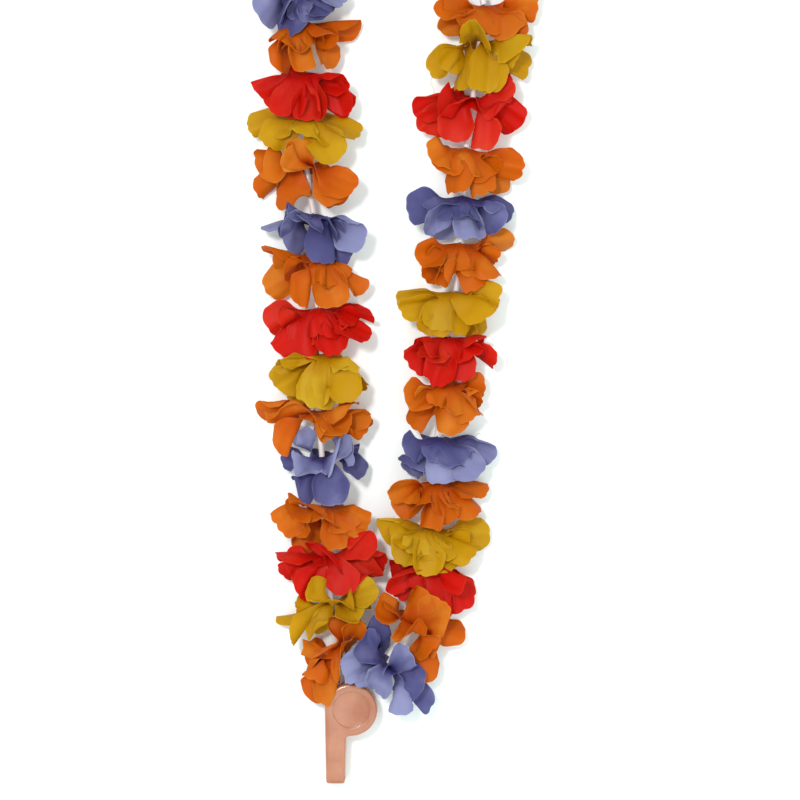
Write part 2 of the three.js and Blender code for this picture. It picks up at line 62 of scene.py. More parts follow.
cloth = {
    "petalCount": 6,
    "petalLength": 33.5,
    "halfWidth": 12.4,
    "notchRadius": 11.0,
    "hubRadius": 2.6,
    "thickness": 0.24,
    "waist": 0.55,               # a petal's half width at its root, against the notch's radius
    "widensFrom": 0.7,           # it widens from this share of the notch's radius
    "widestAt": 0.68,            # to this share of its length
    "fullFrom": 0.8,             # a petal below this share of the full length is narrower too
    "tipRound": 0.34,            # share of its length that a petal's sides lose to the round tip
    "lobeFade": 0.6,             # share of their depth that the tip's lobes lose towards the sides
    "bendLength": 6.0,           # a petal bends to its lean within this distance of the hub
    "leanReach": 0.84,           # share of a petal's length that its lean carries along the thread
    "steepest": 0.96,            # sine of the most lean of a petal that doesn't show
    "mostLean": 1.35,            # and the most lean in radians of one that does
    "underFold": 0.42,           # share of its length that a petal right under the thread loses
    "turnFrom": 4.0,             # radii between which a petal turns from its root to its own bearing
    "turnTo": 16.0,
    "freeFrom": 0.45,            # a petal folds freely between these shares of the notch's radius
    "freeAt": 1.55,
    "mostStretch": 1.16,
    "tipEase": 1.04,             # a rounded, curled tip looks this much shorter than it is
    "leastApart": 26,            # degrees between the bearings of neighbouring petals
    "apartRounds": 60,
    "lap": 1.7,                  # how far round a petal may go, against the way to its line with the next
    "lapReach": 11.0,            # and the least room to each side of a petal,
    "lapLeast": 0.6,             # in radians between these two
    "lapMost": 1.3,
    "lapGap": 0.8,
    "neighbourLap": 4.0,         # how far a flower may reach past the middle between it and the next
    "leanFades": (-3, 6),        # heights over the table between which the cloth stops leaning
    "tableGap": 0.1,
    "tableEase": 3.0,
    "dividerEase": 2.5,
    "lowerFrom": 20,             # the lower layer's petals are numbered from here in the draws
    "underShare": 0.8,           # length of the lower layer's petals against the upper's
    "strawShows": 0.15,
    "layerGap": 0.5,
    "columns": 19,
    "innerRows": [1.0, 2.6, 5.0, 7.8, 11.0],
    "outerRows": 15,
    "mergeWithin": 0.002,
    "relaxSteps": 6,             # rounds that even out the cloth where the petals part
    "relaxPull": 0.7,
    "relaxFrom": (1.5, 4.5),
    "relaxUntil": 19.0,
    "relaxFade": 5,
    "sharpFrom": 42,             # degrees
}

# Each flower: its colour, the pixel of its centre, and each petal that shows, as the pixel of its
# tip, how wide it looks and, where it stands out, how pale it is from 0 to 1, the share of painted lit
# tone that the petal gets. A second list holds the lower layer's petals, where some of them show. The
# left strand runs down the loop and the right strand back up.
leftStrand = [
    ("blue", (300, -8), [(260, 13, 34, 0.9), (284, 33, 34, 0), (318, 27, 32, 0.3), (338, 8, 26, 0.9)]),
    ("orange", (300, 21), [(276, 40, 24), (281, 69, 20), (303, 72, 24), (327, 71, 24), (343, 46, 24),
                           (362, 22, 24)]),
    ("red", (305, 72), [(256, 89, 40), (272, 110, 36), (296, 120, 36), (326, 119, 38), (348, 106, 36),
                        (348, 84, 26)],
     [(260, 84, 36), (284, 117, 40), (312, 120, 40), (346, 112, 38)]),
    ("yellow", (307, 116), [(249, 127, 30), (268, 149, 36), (338, 160, 38), (359, 134, 24)]),
    ("orange", (306, 165), [(285, 144, 34, 0.8), (260, 160, 26), (258, 192, 16), (285, 207, 36),
                            (330, 209, 38), (357, 194, 42, 0.2)],
     [(262, 158, 34, 0.6), (290, 150, 40, 0.7), (292, 196, 40, 0.5), (338, 205, 40)]),
    ("blue", (313, 214), [(286, 203, 18, 0), (263, 228, 14, 0.8), (299, 256, 30, 0.6), (326, 262, 34, 0),
                          (358, 260, 28, 0.1), (368, 235, 32, 1)]),
    ("orange", (315, 255), [(268, 241, 28), (264, 290, 38, 0.7), (300, 306, 36), (334, 309, 38),
                            (361, 295, 24)]),
    ("red", (318, 308), [(266, 324, 36), (280, 350, 36), (305, 359, 36), (338, 354, 36), (372, 340, 18),
                         (372, 323, 16)]),
    ("yellow", (322, 355), [(279, 356, 26), (280, 390, 36), (302, 414, 38), (330, 415, 38), (350, 398, 36),
                            (368, 382, 13)],
     [(277, 352, 34), (276, 386, 38), (316, 416, 40), (358, 366, 34)]),
    ("orange", (318, 412), [(256, 406, 28), (284, 451, 28), (327, 442, 11), (358, 442, 32), (371, 427, 24),
                            (361, 402, 14)],
     [(270, 403, 30), (352, 432, 34), (366, 414, 24)]),
    ("blue", (322, 458), [(303, 429, 36, 1), (308, 507, 34, 0.1), (338, 503, 36, 0.3), (359, 474, 26, 0.3),
                          (348, 436, 32, 1)],
     [(299, 440, 40, 0.9), (353, 447, 40, 0.9)]),
    ("orange", (322, 506), [(280, 524, 38), (302, 550, 38), (340, 549, 38), (366, 529, 34), (286, 494, 9)]),
    ("red", (329, 555), [(280, 553, 14), (282, 577, 36), (298, 598, 34), (345, 592, 34), (386, 562, 42),
                         (374, 534, 40)],
     [(318, 534, 40, 0.1), (290, 560, 40), (300, 590, 38), (386, 582, 40)]),
    ("yellow", (331, 602), [(304, 577, 36), (274, 618, 13), (293, 642, 18), (318, 634, 34), (362, 622, 20),
                            (373, 586, 36, 0.6)],
     [(303, 603, 38, 0), (322, 641, 42, 0.2)]),
    ("orange", (336, 648), [(300, 642, 42, 0.5), (303, 708, 34), (328, 704, 40), (341, 612, 40, 0)],
     [(315, 680, 40, 0.2), (350, 678, 36, 0), (362, 622, 28)]),
]
rightStrand = [
    ("blue", (388, 665), [(373, 618, 38, 0.3), (341, 668, 42, 1), (358, 684, 32, 0.9), (398, 713, 40, 1),
                          (429, 710, 42, 0.3), (408, 647, 34, 0.6)],
     [(360, 634, 38, 0), (374, 688, 38, 0.9), (424, 684, 40, 0.1)]),
    ("orange", (413, 625), [(374, 598, 32), (422, 588, 30), (449, 604, 26), (465, 632, 24), (420, 682, 42)],
     [(402, 645, 34, 0.2), (432, 655, 34, 0.3), (440, 598, 34)]),
    ("red", (424, 565), [(380, 584, 26), (399, 598, 30), (470, 578, 40), (486, 600, 42), (460, 622, 40)],
     [(404, 592, 36), (434, 604, 40), (482, 612, 42)]),
    ("yellow", (430, 528), [(375, 529, 32), (400, 564, 34), (426, 574, 34), (450, 570, 32), (474, 552, 32),
                            (490, 536, 36)]),
    ("orange", (436, 482), [(387, 492, 28), (401, 518, 34), (430, 526, 26), (450, 522, 26), (476, 512, 28),
                            (489, 486, 17)]),
    ("blue", (437, 437), [(403, 452, 36, 0.2), (415, 474, 34, 0.4), (443, 483, 38, 0.9), (478, 479, 36, 0.8),
                          (498, 460, 36, 0.7)]),
    ("orange", (446, 382), [(406, 402, 40), (417, 430, 36), (456, 434, 36), (478, 413, 26), (480, 388, 28)]),
    ("red", (450, 337), [(417, 338, 18), (413, 364, 34), (434, 385, 36), (458, 380, 34), (490, 367, 15),
                         (480, 339, 10)]),
    ("yellow", (456, 292), [(399, 303, 40), (430, 335, 40), (473, 337, 40), (494, 320, 34),
                            (498, 297, 34)],
     [(402, 312, 38), (438, 330, 40), (466, 334, 40), (490, 310, 40)]),
    ("orange", (460, 243), [(416, 259, 36), (428, 280, 30), (443, 287, 14), (476, 291, 36),
                            (514, 240, 26, 0.8), (495, 276, 24)]),
    ("blue", (463, 196), [(408, 211, 36, 0.1), (418, 229, 30, 0.6), (437, 237, 30, 0.9), (475, 238, 30, 0.9),
                          (497, 231, 32, 0.2), (510, 216, 34, 0.1)]),
    ("orange", (466, 148), [(430, 158, 36), (452, 192, 28), (482, 197, 36), (509, 190, 38), (523, 172, 40)]),
    ("red", (473, 98), [(415, 114, 36), (454, 142, 40), (484, 150, 42), (520, 124, 34), (508, 79, 24)],
     [(438, 92, 26), (506, 76, 36), (428, 133, 38)]),
    ("yellow", (480, 40), [(431, 75, 28), (461, 92, 38), (492, 93, 34), (529, 67, 30), (528, 40, 22),
                           (465, 22, 40)],
     [(442, 68, 36), (476, 90, 40), (515, 62, 40), (484, 22, 40)]),
    ("orange", (484, 5), [(437, 19, 34), (498, 34, 36), (518, 27, 36), (537, 4, 34)],
     [(446, 40, 30), (470, 34, 36), (524, 36, 34), (445, 6, 34)]),
]

# Where the strands come close, the line between them, top to bottom. Petals pass it by about 2 mm at most.
dividerPixels = [(392, 440), (380, 490), (374, 520), (391, 547), (391, 571), (383, 592), (366, 636),
                 (350, 648), (340, 660), (339, 720)]


# A fixed draw from 0 to 1 for each flower, petal and use: the far digits of a sine.
def draw(flower, petal, use):
    wave = math.sin(flower * 12.9898 + petal * 78.233 + use * 37.719) * 43758.5453
    return wave - math.floor(wave)


# The same draw from -1 to 1.
def spread(flower, petal, use):
    return 2 * draw(flower, petal, use) - 1


def lerp(one, two, share):
    return one + (two - one) * share


def smoothstep(x, low, high):
    share = np.clip((x - low) / (high - low), 0, 1)
    return share * share * (3 - 2 * share)


# Follows x above the limit and settles on the limit below it.
def softFloor(x, limit, ease):
    return limit + ease * np.logaddexp(0, (x - limit) / ease)


def softCeiling(x, limit, ease):
    return -softFloor(-x, -limit, ease)


# Keeps x between two limits, leaving it nearly alone in the middle.
def softClamp(x, low, high):
    middle = (low + high) / 2
    least, sharpness = 0.05, 8
    half = np.maximum((high - low) / 2, least)
    share = (x - middle) / half
    return middle + half * share / (1 + share ** sharpness) ** (1 / sharpness)


whistleLow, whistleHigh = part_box("whistle_body")
chamber = np.array([(whistleLow.x + whistleHigh.x) / 2 / mm, whistleLow.y / mm + layout["mouthpieceReach"]])


def photoPoint(pixel):
    px, py = layout["chamberPixel"]
    return chamber + np.array([pixel[0] - px, py - pixel[1]]) * layout["mmPerPixel"]


tiePoint = chamber + np.array([0, layout["tieRise"]])


# Where each flower sits, and which way the thread runs through it.
def layOutFlowers():
    flowers = []
    for strand, rows in (("left", leftStrand), ("right", rightStrand)):
        for colour, hub, petals, *below in rows:
            seenBelow = below[0] if below else []
            flowers.append(SimpleNamespace(colour=colour, centre=photoPoint(hub), seen=petals,
                                           seenBelow=seenBelow, strand=strand))
    arch = layout["archColours"]
    for i, colour in enumerate(arch):
        turn = math.pi * (i + 1) / (len(arch) + 1)
        centre = photoPoint(layout["archPixel"])
        centre = centre + layout["archRadius"] * np.array([math.cos(turn), math.sin(turn)])
        flowers.append(SimpleNamespace(colour=colour, centre=centre, seen=[], seenBelow=[], strand="arch"))
    lastLeft = len(leftStrand) - 1
    for i, flower in enumerate(flowers):
        before = tiePoint if i == lastLeft + 1 else flowers[i - 1].centre
        after = tiePoint if i == lastLeft else flowers[(i + 1) % len(flowers)].centre
        arriving, leaving = flower.centre - before, after - flower.centre
        run = (np.linalg.norm(arriving) + np.linalg.norm(leaving)) / 2
        arriving = arriving / np.linalg.norm(arriving)
        leaving = leaving / np.linalg.norm(leaving)
        turn = math.asin(arriving[0] * leaving[1] - arriving[1] * leaving[0])
        along = (arriving + leaving) / np.linalg.norm(arriving + leaving)
        flower.along = along
        flower.outward = np.array([along[1], -along[0]])
        # The two flowers to each side of the tie stay straight, because the thread turns sharply there.
        flower.curvature = 0 if abs(i - lastLeft - 0.5) < 2 else turn / run
        flower.index = i
    return flowers


# A point given along the thread, out from the loop and up from the thread, bent with the thread.
def placeByFlower(flower, along, out, up):
    if abs(flower.curvature) < 1e-5:
        forward, sideways = along, out
    else:
        radius = 1 / flower.curvature
        turn = along * flower.curvature
        sideways = (radius + out) * np.cos(turn) - radius
        forward = (radius + out) * np.sin(turn)
    x = flower.centre[0] + flower.outward[0] * sideways + flower.along[0] * forward
    y = flower.centre[1] + flower.outward[1] * sideways + flower.along[1] * forward
    return np.stack([x, y, up + layout["threadHeight"]], -1)


# How a petal folds, in radians where no note says otherwise. A single number is the most either way,
# and a pair is the least and what a draw adds to it.
folds = {
    "nod": 0.3,                  # bend of the middle line along the petal
    "twist": (0.15, 0.75),       # here the bearing adds, most out at the side
    "twistDraw": (0.8, 0.4),
    "curl": 0.7,
    "wave": 0.6,                 # mm at the sides
    "waveTurn": 0.42,            # radians of it for each mm of the petal's length
    "phase": 6.28,
    "calmUnder": 0.7,            # share of its folds that a petal right under the thread loses
    "shorter": 0.05,             # share of its length that a petal may lack
    "foldAt": 0.5,               # shares of the half width
    "foldSlope": 0.8,
    "foldPivot": 0.7,            # share of the length
    "foldAngle": (0.15, 0.45),
    "foldWidth": 0.09,
    "pleatCount": (1.6, 1.6),
    "pleatAngle": (0.08, 0.16),
    "pleatEdge": 3,              # the higher, the sharper
    "flapShare": 0.4,            # share of the petals that have one side folded over
    "flapUnder": 0.2,            # and none that points down more than this
    "flapAngle": (2.3, 0.5),
    "flapAt": (0.62, 0.2),
    "flapBend": (0.07, 0.09),
    "flapGrows": (0.45, 0.62),
    "lobes": (2, 2.5),
    "lobePhase": 3.14,
    "lobeDepth": (0.5, 1.3),     # mm
    "tipPower": (1.9, 1.1),      # the higher, the squarer the tip
    # tone: the most painted lit tone that a petal gets by draw, unless it is marked pale
    "tone": 0.6,
    "fillAlong": 11,             # mm along the thread that a petal out of sight may reach,
    "archAlong": 17,             # and one of a flower of the arch
    "shortest": 0.74,            # a petal folded over keeps this share of its length,
    "foldedLength": 1.12,        # or this much of the way from the hub to its tip
    "judgedAt": 0.66,            # share of the length where the width that shows is measured
    "mostCurl": 2.9,
    "mostTwist": 1.5,
    "plainFrom": 0.3,            # a petal that lacks this share of its width has no flap,
    "slimFrom": 0.5,             # and from here on no fold, less pleat and a tip of its own
    "slimCurl": 2.6,
    "slimPleat": 0.4,
    "slimTip": 2.6,
    "pointedTip": 1.4,
    "pointedUnder": 12,          # pixels wide
    "underLean": 0.16,           # the rest are for the lower layer
    "underTwist": (0.15, 0.5),   # here the upper petal's twist adds
    "underTwistMost": 0.8,
    "underCurl": 0.4,
    "underFolds": 0.5,
}


def drawn(name, flower, petal, use):
    least, more = folds[name]
    return least + more * draw(flower, petal, use)


# One petal: its bearing round the thread, its lean along it, its twist, curl and folds.
def petalShape(flower, number, bearing, along):
    length = cloth["petalLength"]
    steepest = cloth["steepest"]
    lean = math.asin(max(-steepest, min(steepest, along / (length * cloth["leanReach"]))))
    side = abs(math.cos(bearing))
    under = max(0, -math.sin(bearing))
    calm = 1 - folds["calmUnder"] * under
    i = flower.index
    turnWay = -1 if spread(i, number, 1) < 0 else 1
    twistLeast, twistMore = folds["twist"]
    hasFlap = draw(i, number, 18) < folds["flapShare"] and under < folds["flapUnder"]
    return SimpleNamespace(
        bearing=bearing,
        lean=lean,
        nod=folds["nod"] * spread(i, number, 8) * calm,
        twist=turnWay * (twistLeast + twistMore * side) * drawn("twistDraw", i, number, 2),
        turnWay=turnWay,
        curl=folds["curl"] * spread(i, number, 9) * calm,
        wave=folds["wave"] * calm,
        ripple=folds["phase"] * draw(i, number, 4),
        length=length * (1 - folds["shorter"] * draw(i, number, 5)) * (1 - cloth["underFold"] * under ** 2),
        foldAt=folds["foldAt"] * spread(i, number, 10),
        foldSlope=folds["foldSlope"] * spread(i, number, 11),
        foldAngle=drawn("foldAngle", i, number, 12) * calm * turnWay,
        pleatCount=drawn("pleatCount", i, number, 13),
        pleatPhase=folds["phase"] * draw(i, number, 14),
        pleatAngle=drawn("pleatAngle", i, number, 15) * calm,
        flapSide=1 if spread(i, number, 16) > 0 else -1,
        flapAngle=drawn("flapAngle", i, number, 17) * hasFlap,
        flapAt=drawn("flapAt", i, number, 19),
        lobes=drawn("lobes", i, number, 20),
        lobePhase=folds["lobePhase"] * draw(i, number, 21),
        lobeDepth=drawn("lobeDepth", i, number, 22),
        tipPower=drawn("tipPower", i, number, 23),
        tone=folds["tone"] * draw(i, number, 25),
    )


# How wide a petal looks from straight above at a twist, in millimetres.
def widthSeen(petal, flatPart, liftPart, half, twist):
    radial = np.array([math.cos(petal.bearing), 0, math.sin(petal.bearing)])
    ring = np.array([-math.sin(petal.bearing), 0, math.cos(petal.bearing)])
    forward = np.array([0, 1, 0])
    middle = radial * math.cos(petal.lean) + forward * math.sin(petal.lean)
    normal = forward * math.cos(petal.lean) - radial * math.sin(petal.lean)
    across = ring * math.cos(twist) + normal * math.sin(twist)
    lifted = normal * math.cos(twist) - ring * math.sin(twist)
    flat = middle[:2] / max(np.linalg.norm(middle[:2]), 0.15)
    places = half * (flatPart[:, None] * across + liftPart[:, None] * lifted)
    return np.ptp(places[:, 0] * flat[1] - places[:, 1] * flat[0])


# Twists and curls a petal until it looks as wide as it does in the photograph.
def fitWidth(flower, petal, number, widthPixels):
    target = widthPixels * layout["mmPerPixel"]
    narrow = 1 - min(1, target / (2 * cloth["halfWidth"]))
    if narrow > folds["plainFrom"]:
        petal.flapAngle = 0
    if narrow > folds["slimFrom"]:
        petal.foldAngle = 0
        petal.pleatAngle *= folds["slimPleat"]
        petal.tipPower = folds["pointedTip"] if widthPixels < folds["pointedUnder"] else folds["slimTip"]
    wantedCurl = folds["slimCurl"] * narrow * draw(flower.index, number, 24)
    tries, samples, ease = 16, 33, 0.5
    line = np.linspace(-1, 1, samples)[None, :]
    distance = np.full((1, 1), folds["judgedAt"] * petal.length)
    half = float(cutHalfWidth(petal, distance)[0, 0])
    best = math.inf
    for curl in np.linspace(0, folds["mostCurl"], tries):
        petal.curl = curl * petal.turnWay
        flatPart, liftPart = crossSection(petal, distance, line)
        for twist in np.linspace(0, folds["mostTwist"], tries) * petal.turnWay:
            width = widthSeen(petal, flatPart[0], liftPart[0], half, twist)
            cost = abs(width - target) + ease * abs(curl - wantedCurl) + ease * abs(twist)
            if cost < best:
                best = cost
                chosen = petal.curl, twist
    petal.curl, petal.twist = chosen
    return petal


# Leans, turns and, where it must, stretches a petal until its tip lies where the photograph has it.
def seenPetal(flower, pixel, number):
    offset = (photoPoint(pixel[:2]) - flower.centre) * cloth["tipEase"]
    out, along = offset @ flower.outward, offset @ flower.along
    full = cloth["petalLength"]
    petal = petalShape(flower, number, math.pi / 2, along)
    # A petal whose tip lies near the hub is folded over, so it stands less high.
    petal.length = max(folds["shortest"] * full, min(full, folds["foldedLength"] * np.linalg.norm(offset)))
    rounds, halvings = 4, 14
    for _ in range(rounds):
        low, high = -cloth["mostLean"], cloth["mostLean"]
        for _ in range(halvings):
            petal.lean = (low + high) / 2
            shapeMiddle(petal)
            radius, reached, _ = middleAt(petal, petal.length)
            low, high = (petal.lean, high) if reached < along else (low, petal.lean)
        short = max(abs(along) - abs(reached), abs(out) - radius, 0)
        petal.length = min(cloth["mostStretch"] * full, petal.length + short)
    mostSideways = 0.99  # so that a petal that shows points a little up
    petal.bearing = math.acos(max(-mostSideways, min(mostSideways, out / radius)))
    # A petal marked pale takes that share of painted lit tone.
    petal.tone = pixel[3] if len(pixel) > 3 else petal.tone
    return fitWidth(flower, petal, number, pixel[2])


# Petals that point nearly the same way are eased apart; those out at the sides give way most.
def easeApart(petals):
    count = len(petals)
    leastApart = math.radians(cloth["leastApart"])
    firm = 0.25
    for _ in range(cloth["apartRounds"]):
        for k in range(count):
            one, after = petals[k], petals[(k + 1) % count]
            wrap = 2 * math.pi if k == count - 1 else 0
            short = leastApart - (after.bearing + wrap - one.bearing)
            if short > 0:
                oneGives = 1 / (firm + abs(math.sin(one.bearing)))
                afterGives = 1 / (firm + abs(math.sin(after.bearing)))
                one.bearing -= short * oneGives / (oneGives + afterGives)
                after.bearing += short * afterGives / (oneGives + afterGives)


# One layer's petals: those that the photograph shows, then others that fill the rest of the way round.
def petalsOf(flower, pixels, numbersFrom):
    count = cloth["petalCount"]
    petals = [seenPetal(flower, pixel, numbersFrom + k) for k, pixel in enumerate(pixels)]
    petals.sort(key=lambda petal: petal.bearing)
    seen = len(petals)
    first = petals[0].bearing if seen else 2 * math.pi * draw(flower.index, 0, 6)
    last = petals[-1].bearing if seen else first - 2 * math.pi / count
    step = (first + 2 * math.pi - last) / (count - seen + 1)
    mostAlong = folds["fillAlong"] if seen else folds["archAlong"]
    for k in range(count - seen):
        along = mostAlong * spread(flower.index, k, 7)
        petal = petalShape(flower, numbersFrom + seen + k, last + step * (k + 1), along)
        petal.length *= cloth["underShare"] if numbersFrom else 1
        petals.append(petal)
    easeApart(petals)
    return finishPetals(petals)


# The lower layer of cloth: petals that show, or else petals that fill the spaces of the upper layer.
def underPetalsOf(flower):
    numbersFrom = cloth["lowerFrom"]
    if flower.seenBelow:
        return petalsOf(flower, flower.seenBelow, numbersFrom)
    count = len(flower.petals)
    twistLeast, twistMore = folds["underTwist"]
    petals = []
    for k, one in enumerate(flower.petals):
        after = flower.petals[(k + 1) % count]
        wrap = 2 * math.pi if k == count - 1 else 0
        bearing = (one.bearing + after.bearing + wrap) / 2
        lean = (one.lean + after.lean) / 2 + folds["underLean"] * spread(flower.index, k, 31)
        along = cloth["petalLength"] * cloth["leanReach"] * math.sin(lean)
        petal = petalShape(flower, numbersFrom + k, bearing, along)
        # Over the thread the lower layer stops short, so that the straw shows.
        petal.length *= cloth["underShare"] * (1 - cloth["strawShows"] * max(0, math.sin(bearing)) ** 8)
        wider = one if abs(one.twist) > abs(after.twist) else after
        twist = min(folds["underTwistMost"], twistLeast + twistMore * abs(wider.twist))
        petal.twist = math.copysign(twist, wider.twist)
        petal.flapAngle = 0
        petal.curl *= folds["underCurl"]
        petal.foldAngle *= folds["underFolds"]
        petals.append(petal)
    return finishPetals(petals)


# Spaces the roots evenly, shapes the middle lines and says which of two lapping petals is the upper.
def finishPetals(petals):
    count = len(petals)
    even = 2 * math.pi / count
    turned = sum(petal.bearing - even * k for k, petal in enumerate(petals)) / count
    for k, petal in enumerate(petals):
        petal.rootBearing = turned + even * k
        shapeMiddle(petal)
    for k in range(count):
        one, after = petals[k], petals[(k + 1) % count]
        reach = 0.7 * cloth["petalLength"]
        oneEdge = reach * math.sin(one.lean) + cloth["halfWidth"] * math.sin(one.twist)
        afterEdge = reach * math.sin(after.lean) - cloth["halfWidth"] * math.sin(after.twist)
        one.overAhead = 1 if oneEdge > afterEdge else -1
        after.overBehind = -one.overAhead
    return petals


# A petal's middle line, kept as its radius, place along the thread and lean at each distance.
def shapeMiddle(petal):
    pastTip, samples = 1.05, 120
    distance = np.linspace(0, petal.length * pastTip, samples)
    hub = cloth["hubRadius"]
    ramp = np.clip((distance - hub) / cloth["bendLength"], 0, 1)
    share = np.clip((distance - hub) / (petal.length - hub), 0, 1)
    lean = petal.lean * ramp + petal.nod * (share * 2 - 1) * ramp
    step = distance[1] - distance[0]
    between = (lean[1:] + lean[:-1]) / 2
    petal.distance = distance
    petal.radius = np.concatenate([[0], np.cumsum(np.cos(between)) * step])
    petal.along = np.concatenate([[0], np.cumsum(np.sin(between)) * step])
    petal.leans = lean


def middleAt(petal, distance):
    tables = petal.radius, petal.along, petal.leans
    return tuple(np.interp(distance, petal.distance, table) for table in tables)


def bearingAt(petal, radius):
    return lerp(petal.rootBearing, petal.bearing, smoothstep(radius, cloth["turnFrom"], cloth["turnTo"]))


# How far the cloth of a whole flower leans along the thread at a radius and bearing.
def leanField(flower, radius, bearing):
    petals = flower.petals
    count = len(petals)
    turns = np.stack([bearingAt(petal, radius) for petal in petals], -1)
    local = turns[..., 0] + np.mod(bearing - turns[..., 0], 2 * math.pi)
    k = np.sum(turns <= local[..., None] + 1e-9, -1) - 1
    after = (k + 1) % count
    here = np.take_along_axis(turns, k[..., None], -1)[..., 0]
    there = np.take_along_axis(turns, after[..., None], -1)[..., 0] + np.where(after == 0, 2 * math.pi, 0)
    share = smoothstep(local, here, there)
    slope = np.array([math.tan(petal.lean) for petal in petals])
    most = np.array([abs(petal.length * math.sin(petal.lean)) for petal in petals])
    past = np.maximum(0, radius - cloth["hubRadius"] - 2)
    leanHere = np.clip(slope[k] * past, -most[k], most[k])
    leanThere = np.clip(slope[after] * past, -most[after], most[after])
    height = radius * np.sin(bearing) + layout["threadHeight"]
    return lerp(leanHere, leanThere, share) * smoothstep(height, *cloth["leanFades"])


# The stretch along the thread that this flower may use at a radius and bearing.
def ownStretch(flower, flowers, radius, bearing):
    own = leanField(flower, radius, bearing)
    ends = []
    for step in (-1, 1):
        other = flowers[(flower.index + step) % len(flowers)]
        theirs = leanField(other, radius, bearing)
        slope = np.maximum(abs(own), abs(theirs)) / (radius + 4)
        margin = cloth["thickness"] * np.sqrt(1 + 1.6 * slope ** 2) - cloth["neighbourLap"]
        run = np.linalg.norm(other.centre - flower.centre)
        ends.append((own + theirs) / 2 + step * (run / 2 - margin))
    return ends


dividerLine = np.array([photoPoint(pixel) for pixel in dividerPixels])[::-1]


# Fits points of cloth between their neighbours, the table and the other strand.
def settle(flower, flowers, radius, bearing, along):
    low, high = ownStretch(flower, flowers, radius, bearing)
    fitted = np.where(radius > cloth["hubRadius"] + 0.5, softClamp(along, low, high), along)
    table = cloth["thickness"] / 2 + cloth["tableGap"] - layout["threadHeight"]
    up = softFloor(radius * np.sin(bearing), table, cloth["tableEase"])
    points = placeByFlower(flower, fitted, radius * np.cos(bearing), up)
    if flower.strand != "arch":
        line = np.interp(points[..., 1], dividerLine[:, 1], dividerLine[:, 0])
        below = points[..., 1] < dividerLine[-1, 1]
        clear = cloth["thickness"] - cloth["neighbourLap"] / 2
        if flower.strand == "left":
            kept = softCeiling(points[..., 0], line - clear, cloth["dividerEase"])
        else:
            kept = softFloor(points[..., 0], line + clear, cloth["dividerEase"])
        points[..., 0] = np.where(below, kept, points[..., 0])
    return points


# How far the cut reaches at a share across the petal: a round tip with shallow lobes.
def cutReach(petal, across):
    size = np.minimum(abs(across), 1)
    tip = 1 - cloth["tipRound"] * (1 - (1 - size ** petal.tipPower) ** (1 / petal.tipPower))
    lobes = np.abs(np.cos(petal.lobes * math.pi / 2 * across + petal.lobePhase)) - 1
    return petal.length * tip + petal.lobeDepth * lobes * (1 - cloth["lobeFade"] * size)


def cutHalfWidth(petal, distance):
    notch = cloth["notchRadius"]
    full = cloth["halfWidth"] * min(1, petal.length / (cloth["fullFrom"] * cloth["petalLength"]))
    widening = smoothstep(distance, notch * cloth["widensFrom"], petal.length * cloth["widestAt"])
    return lerp(notch * cloth["waist"], full, widening)


# The slope of the cloth across a petal, which curls it and folds it.
def slopeAcross(petal, distance, across):
    share = distance / petal.length
    slope = petal.curl * across
    foldAt = petal.foldAt + petal.foldSlope * (share - folds["foldPivot"])
    slope = slope + petal.foldAngle * np.tanh((across - foldAt) / folds["foldWidth"])
    pleats = np.sin(math.pi * petal.pleatCount * across + petal.pleatPhase)
    slope = slope + petal.pleatAngle * np.tanh(folds["pleatEdge"] * pleats)
    before, past = folds["flapBend"]
    flap = smoothstep(petal.flapSide * across, petal.flapAt - before, petal.flapAt + past)
    return slope + petal.flapSide * petal.flapAngle * flap * smoothstep(share, *folds["flapGrows"])


# The run and the rise of the cloth across a petal, as shares of its half width.
def crossSection(petal, distance, across):
    notch = cloth["notchRadius"]
    across = np.broadcast_to(across, (len(distance), across.shape[1]))
    grow = smoothstep(distance, notch * cloth["freeFrom"], notch * cloth["freeAt"])
    slope = slopeAcross(petal, distance, across) * grow
    between = (slope[:, 1:] + slope[:, :-1]) / 2
    stepAcross = np.diff(across, axis=1)
    zero = np.zeros((len(distance), 1))
    flatPart = np.concatenate([zero, np.cumsum(np.cos(between) * stepAcross, 1)], 1)
    liftPart = np.concatenate([zero, np.cumsum(np.sin(between) * stepAcross, 1)], 1)
    middle = across.shape[1] // 2
    return flatPart - flatPart[:, middle:middle + 1], liftPart - liftPart[:, middle:middle + 1]


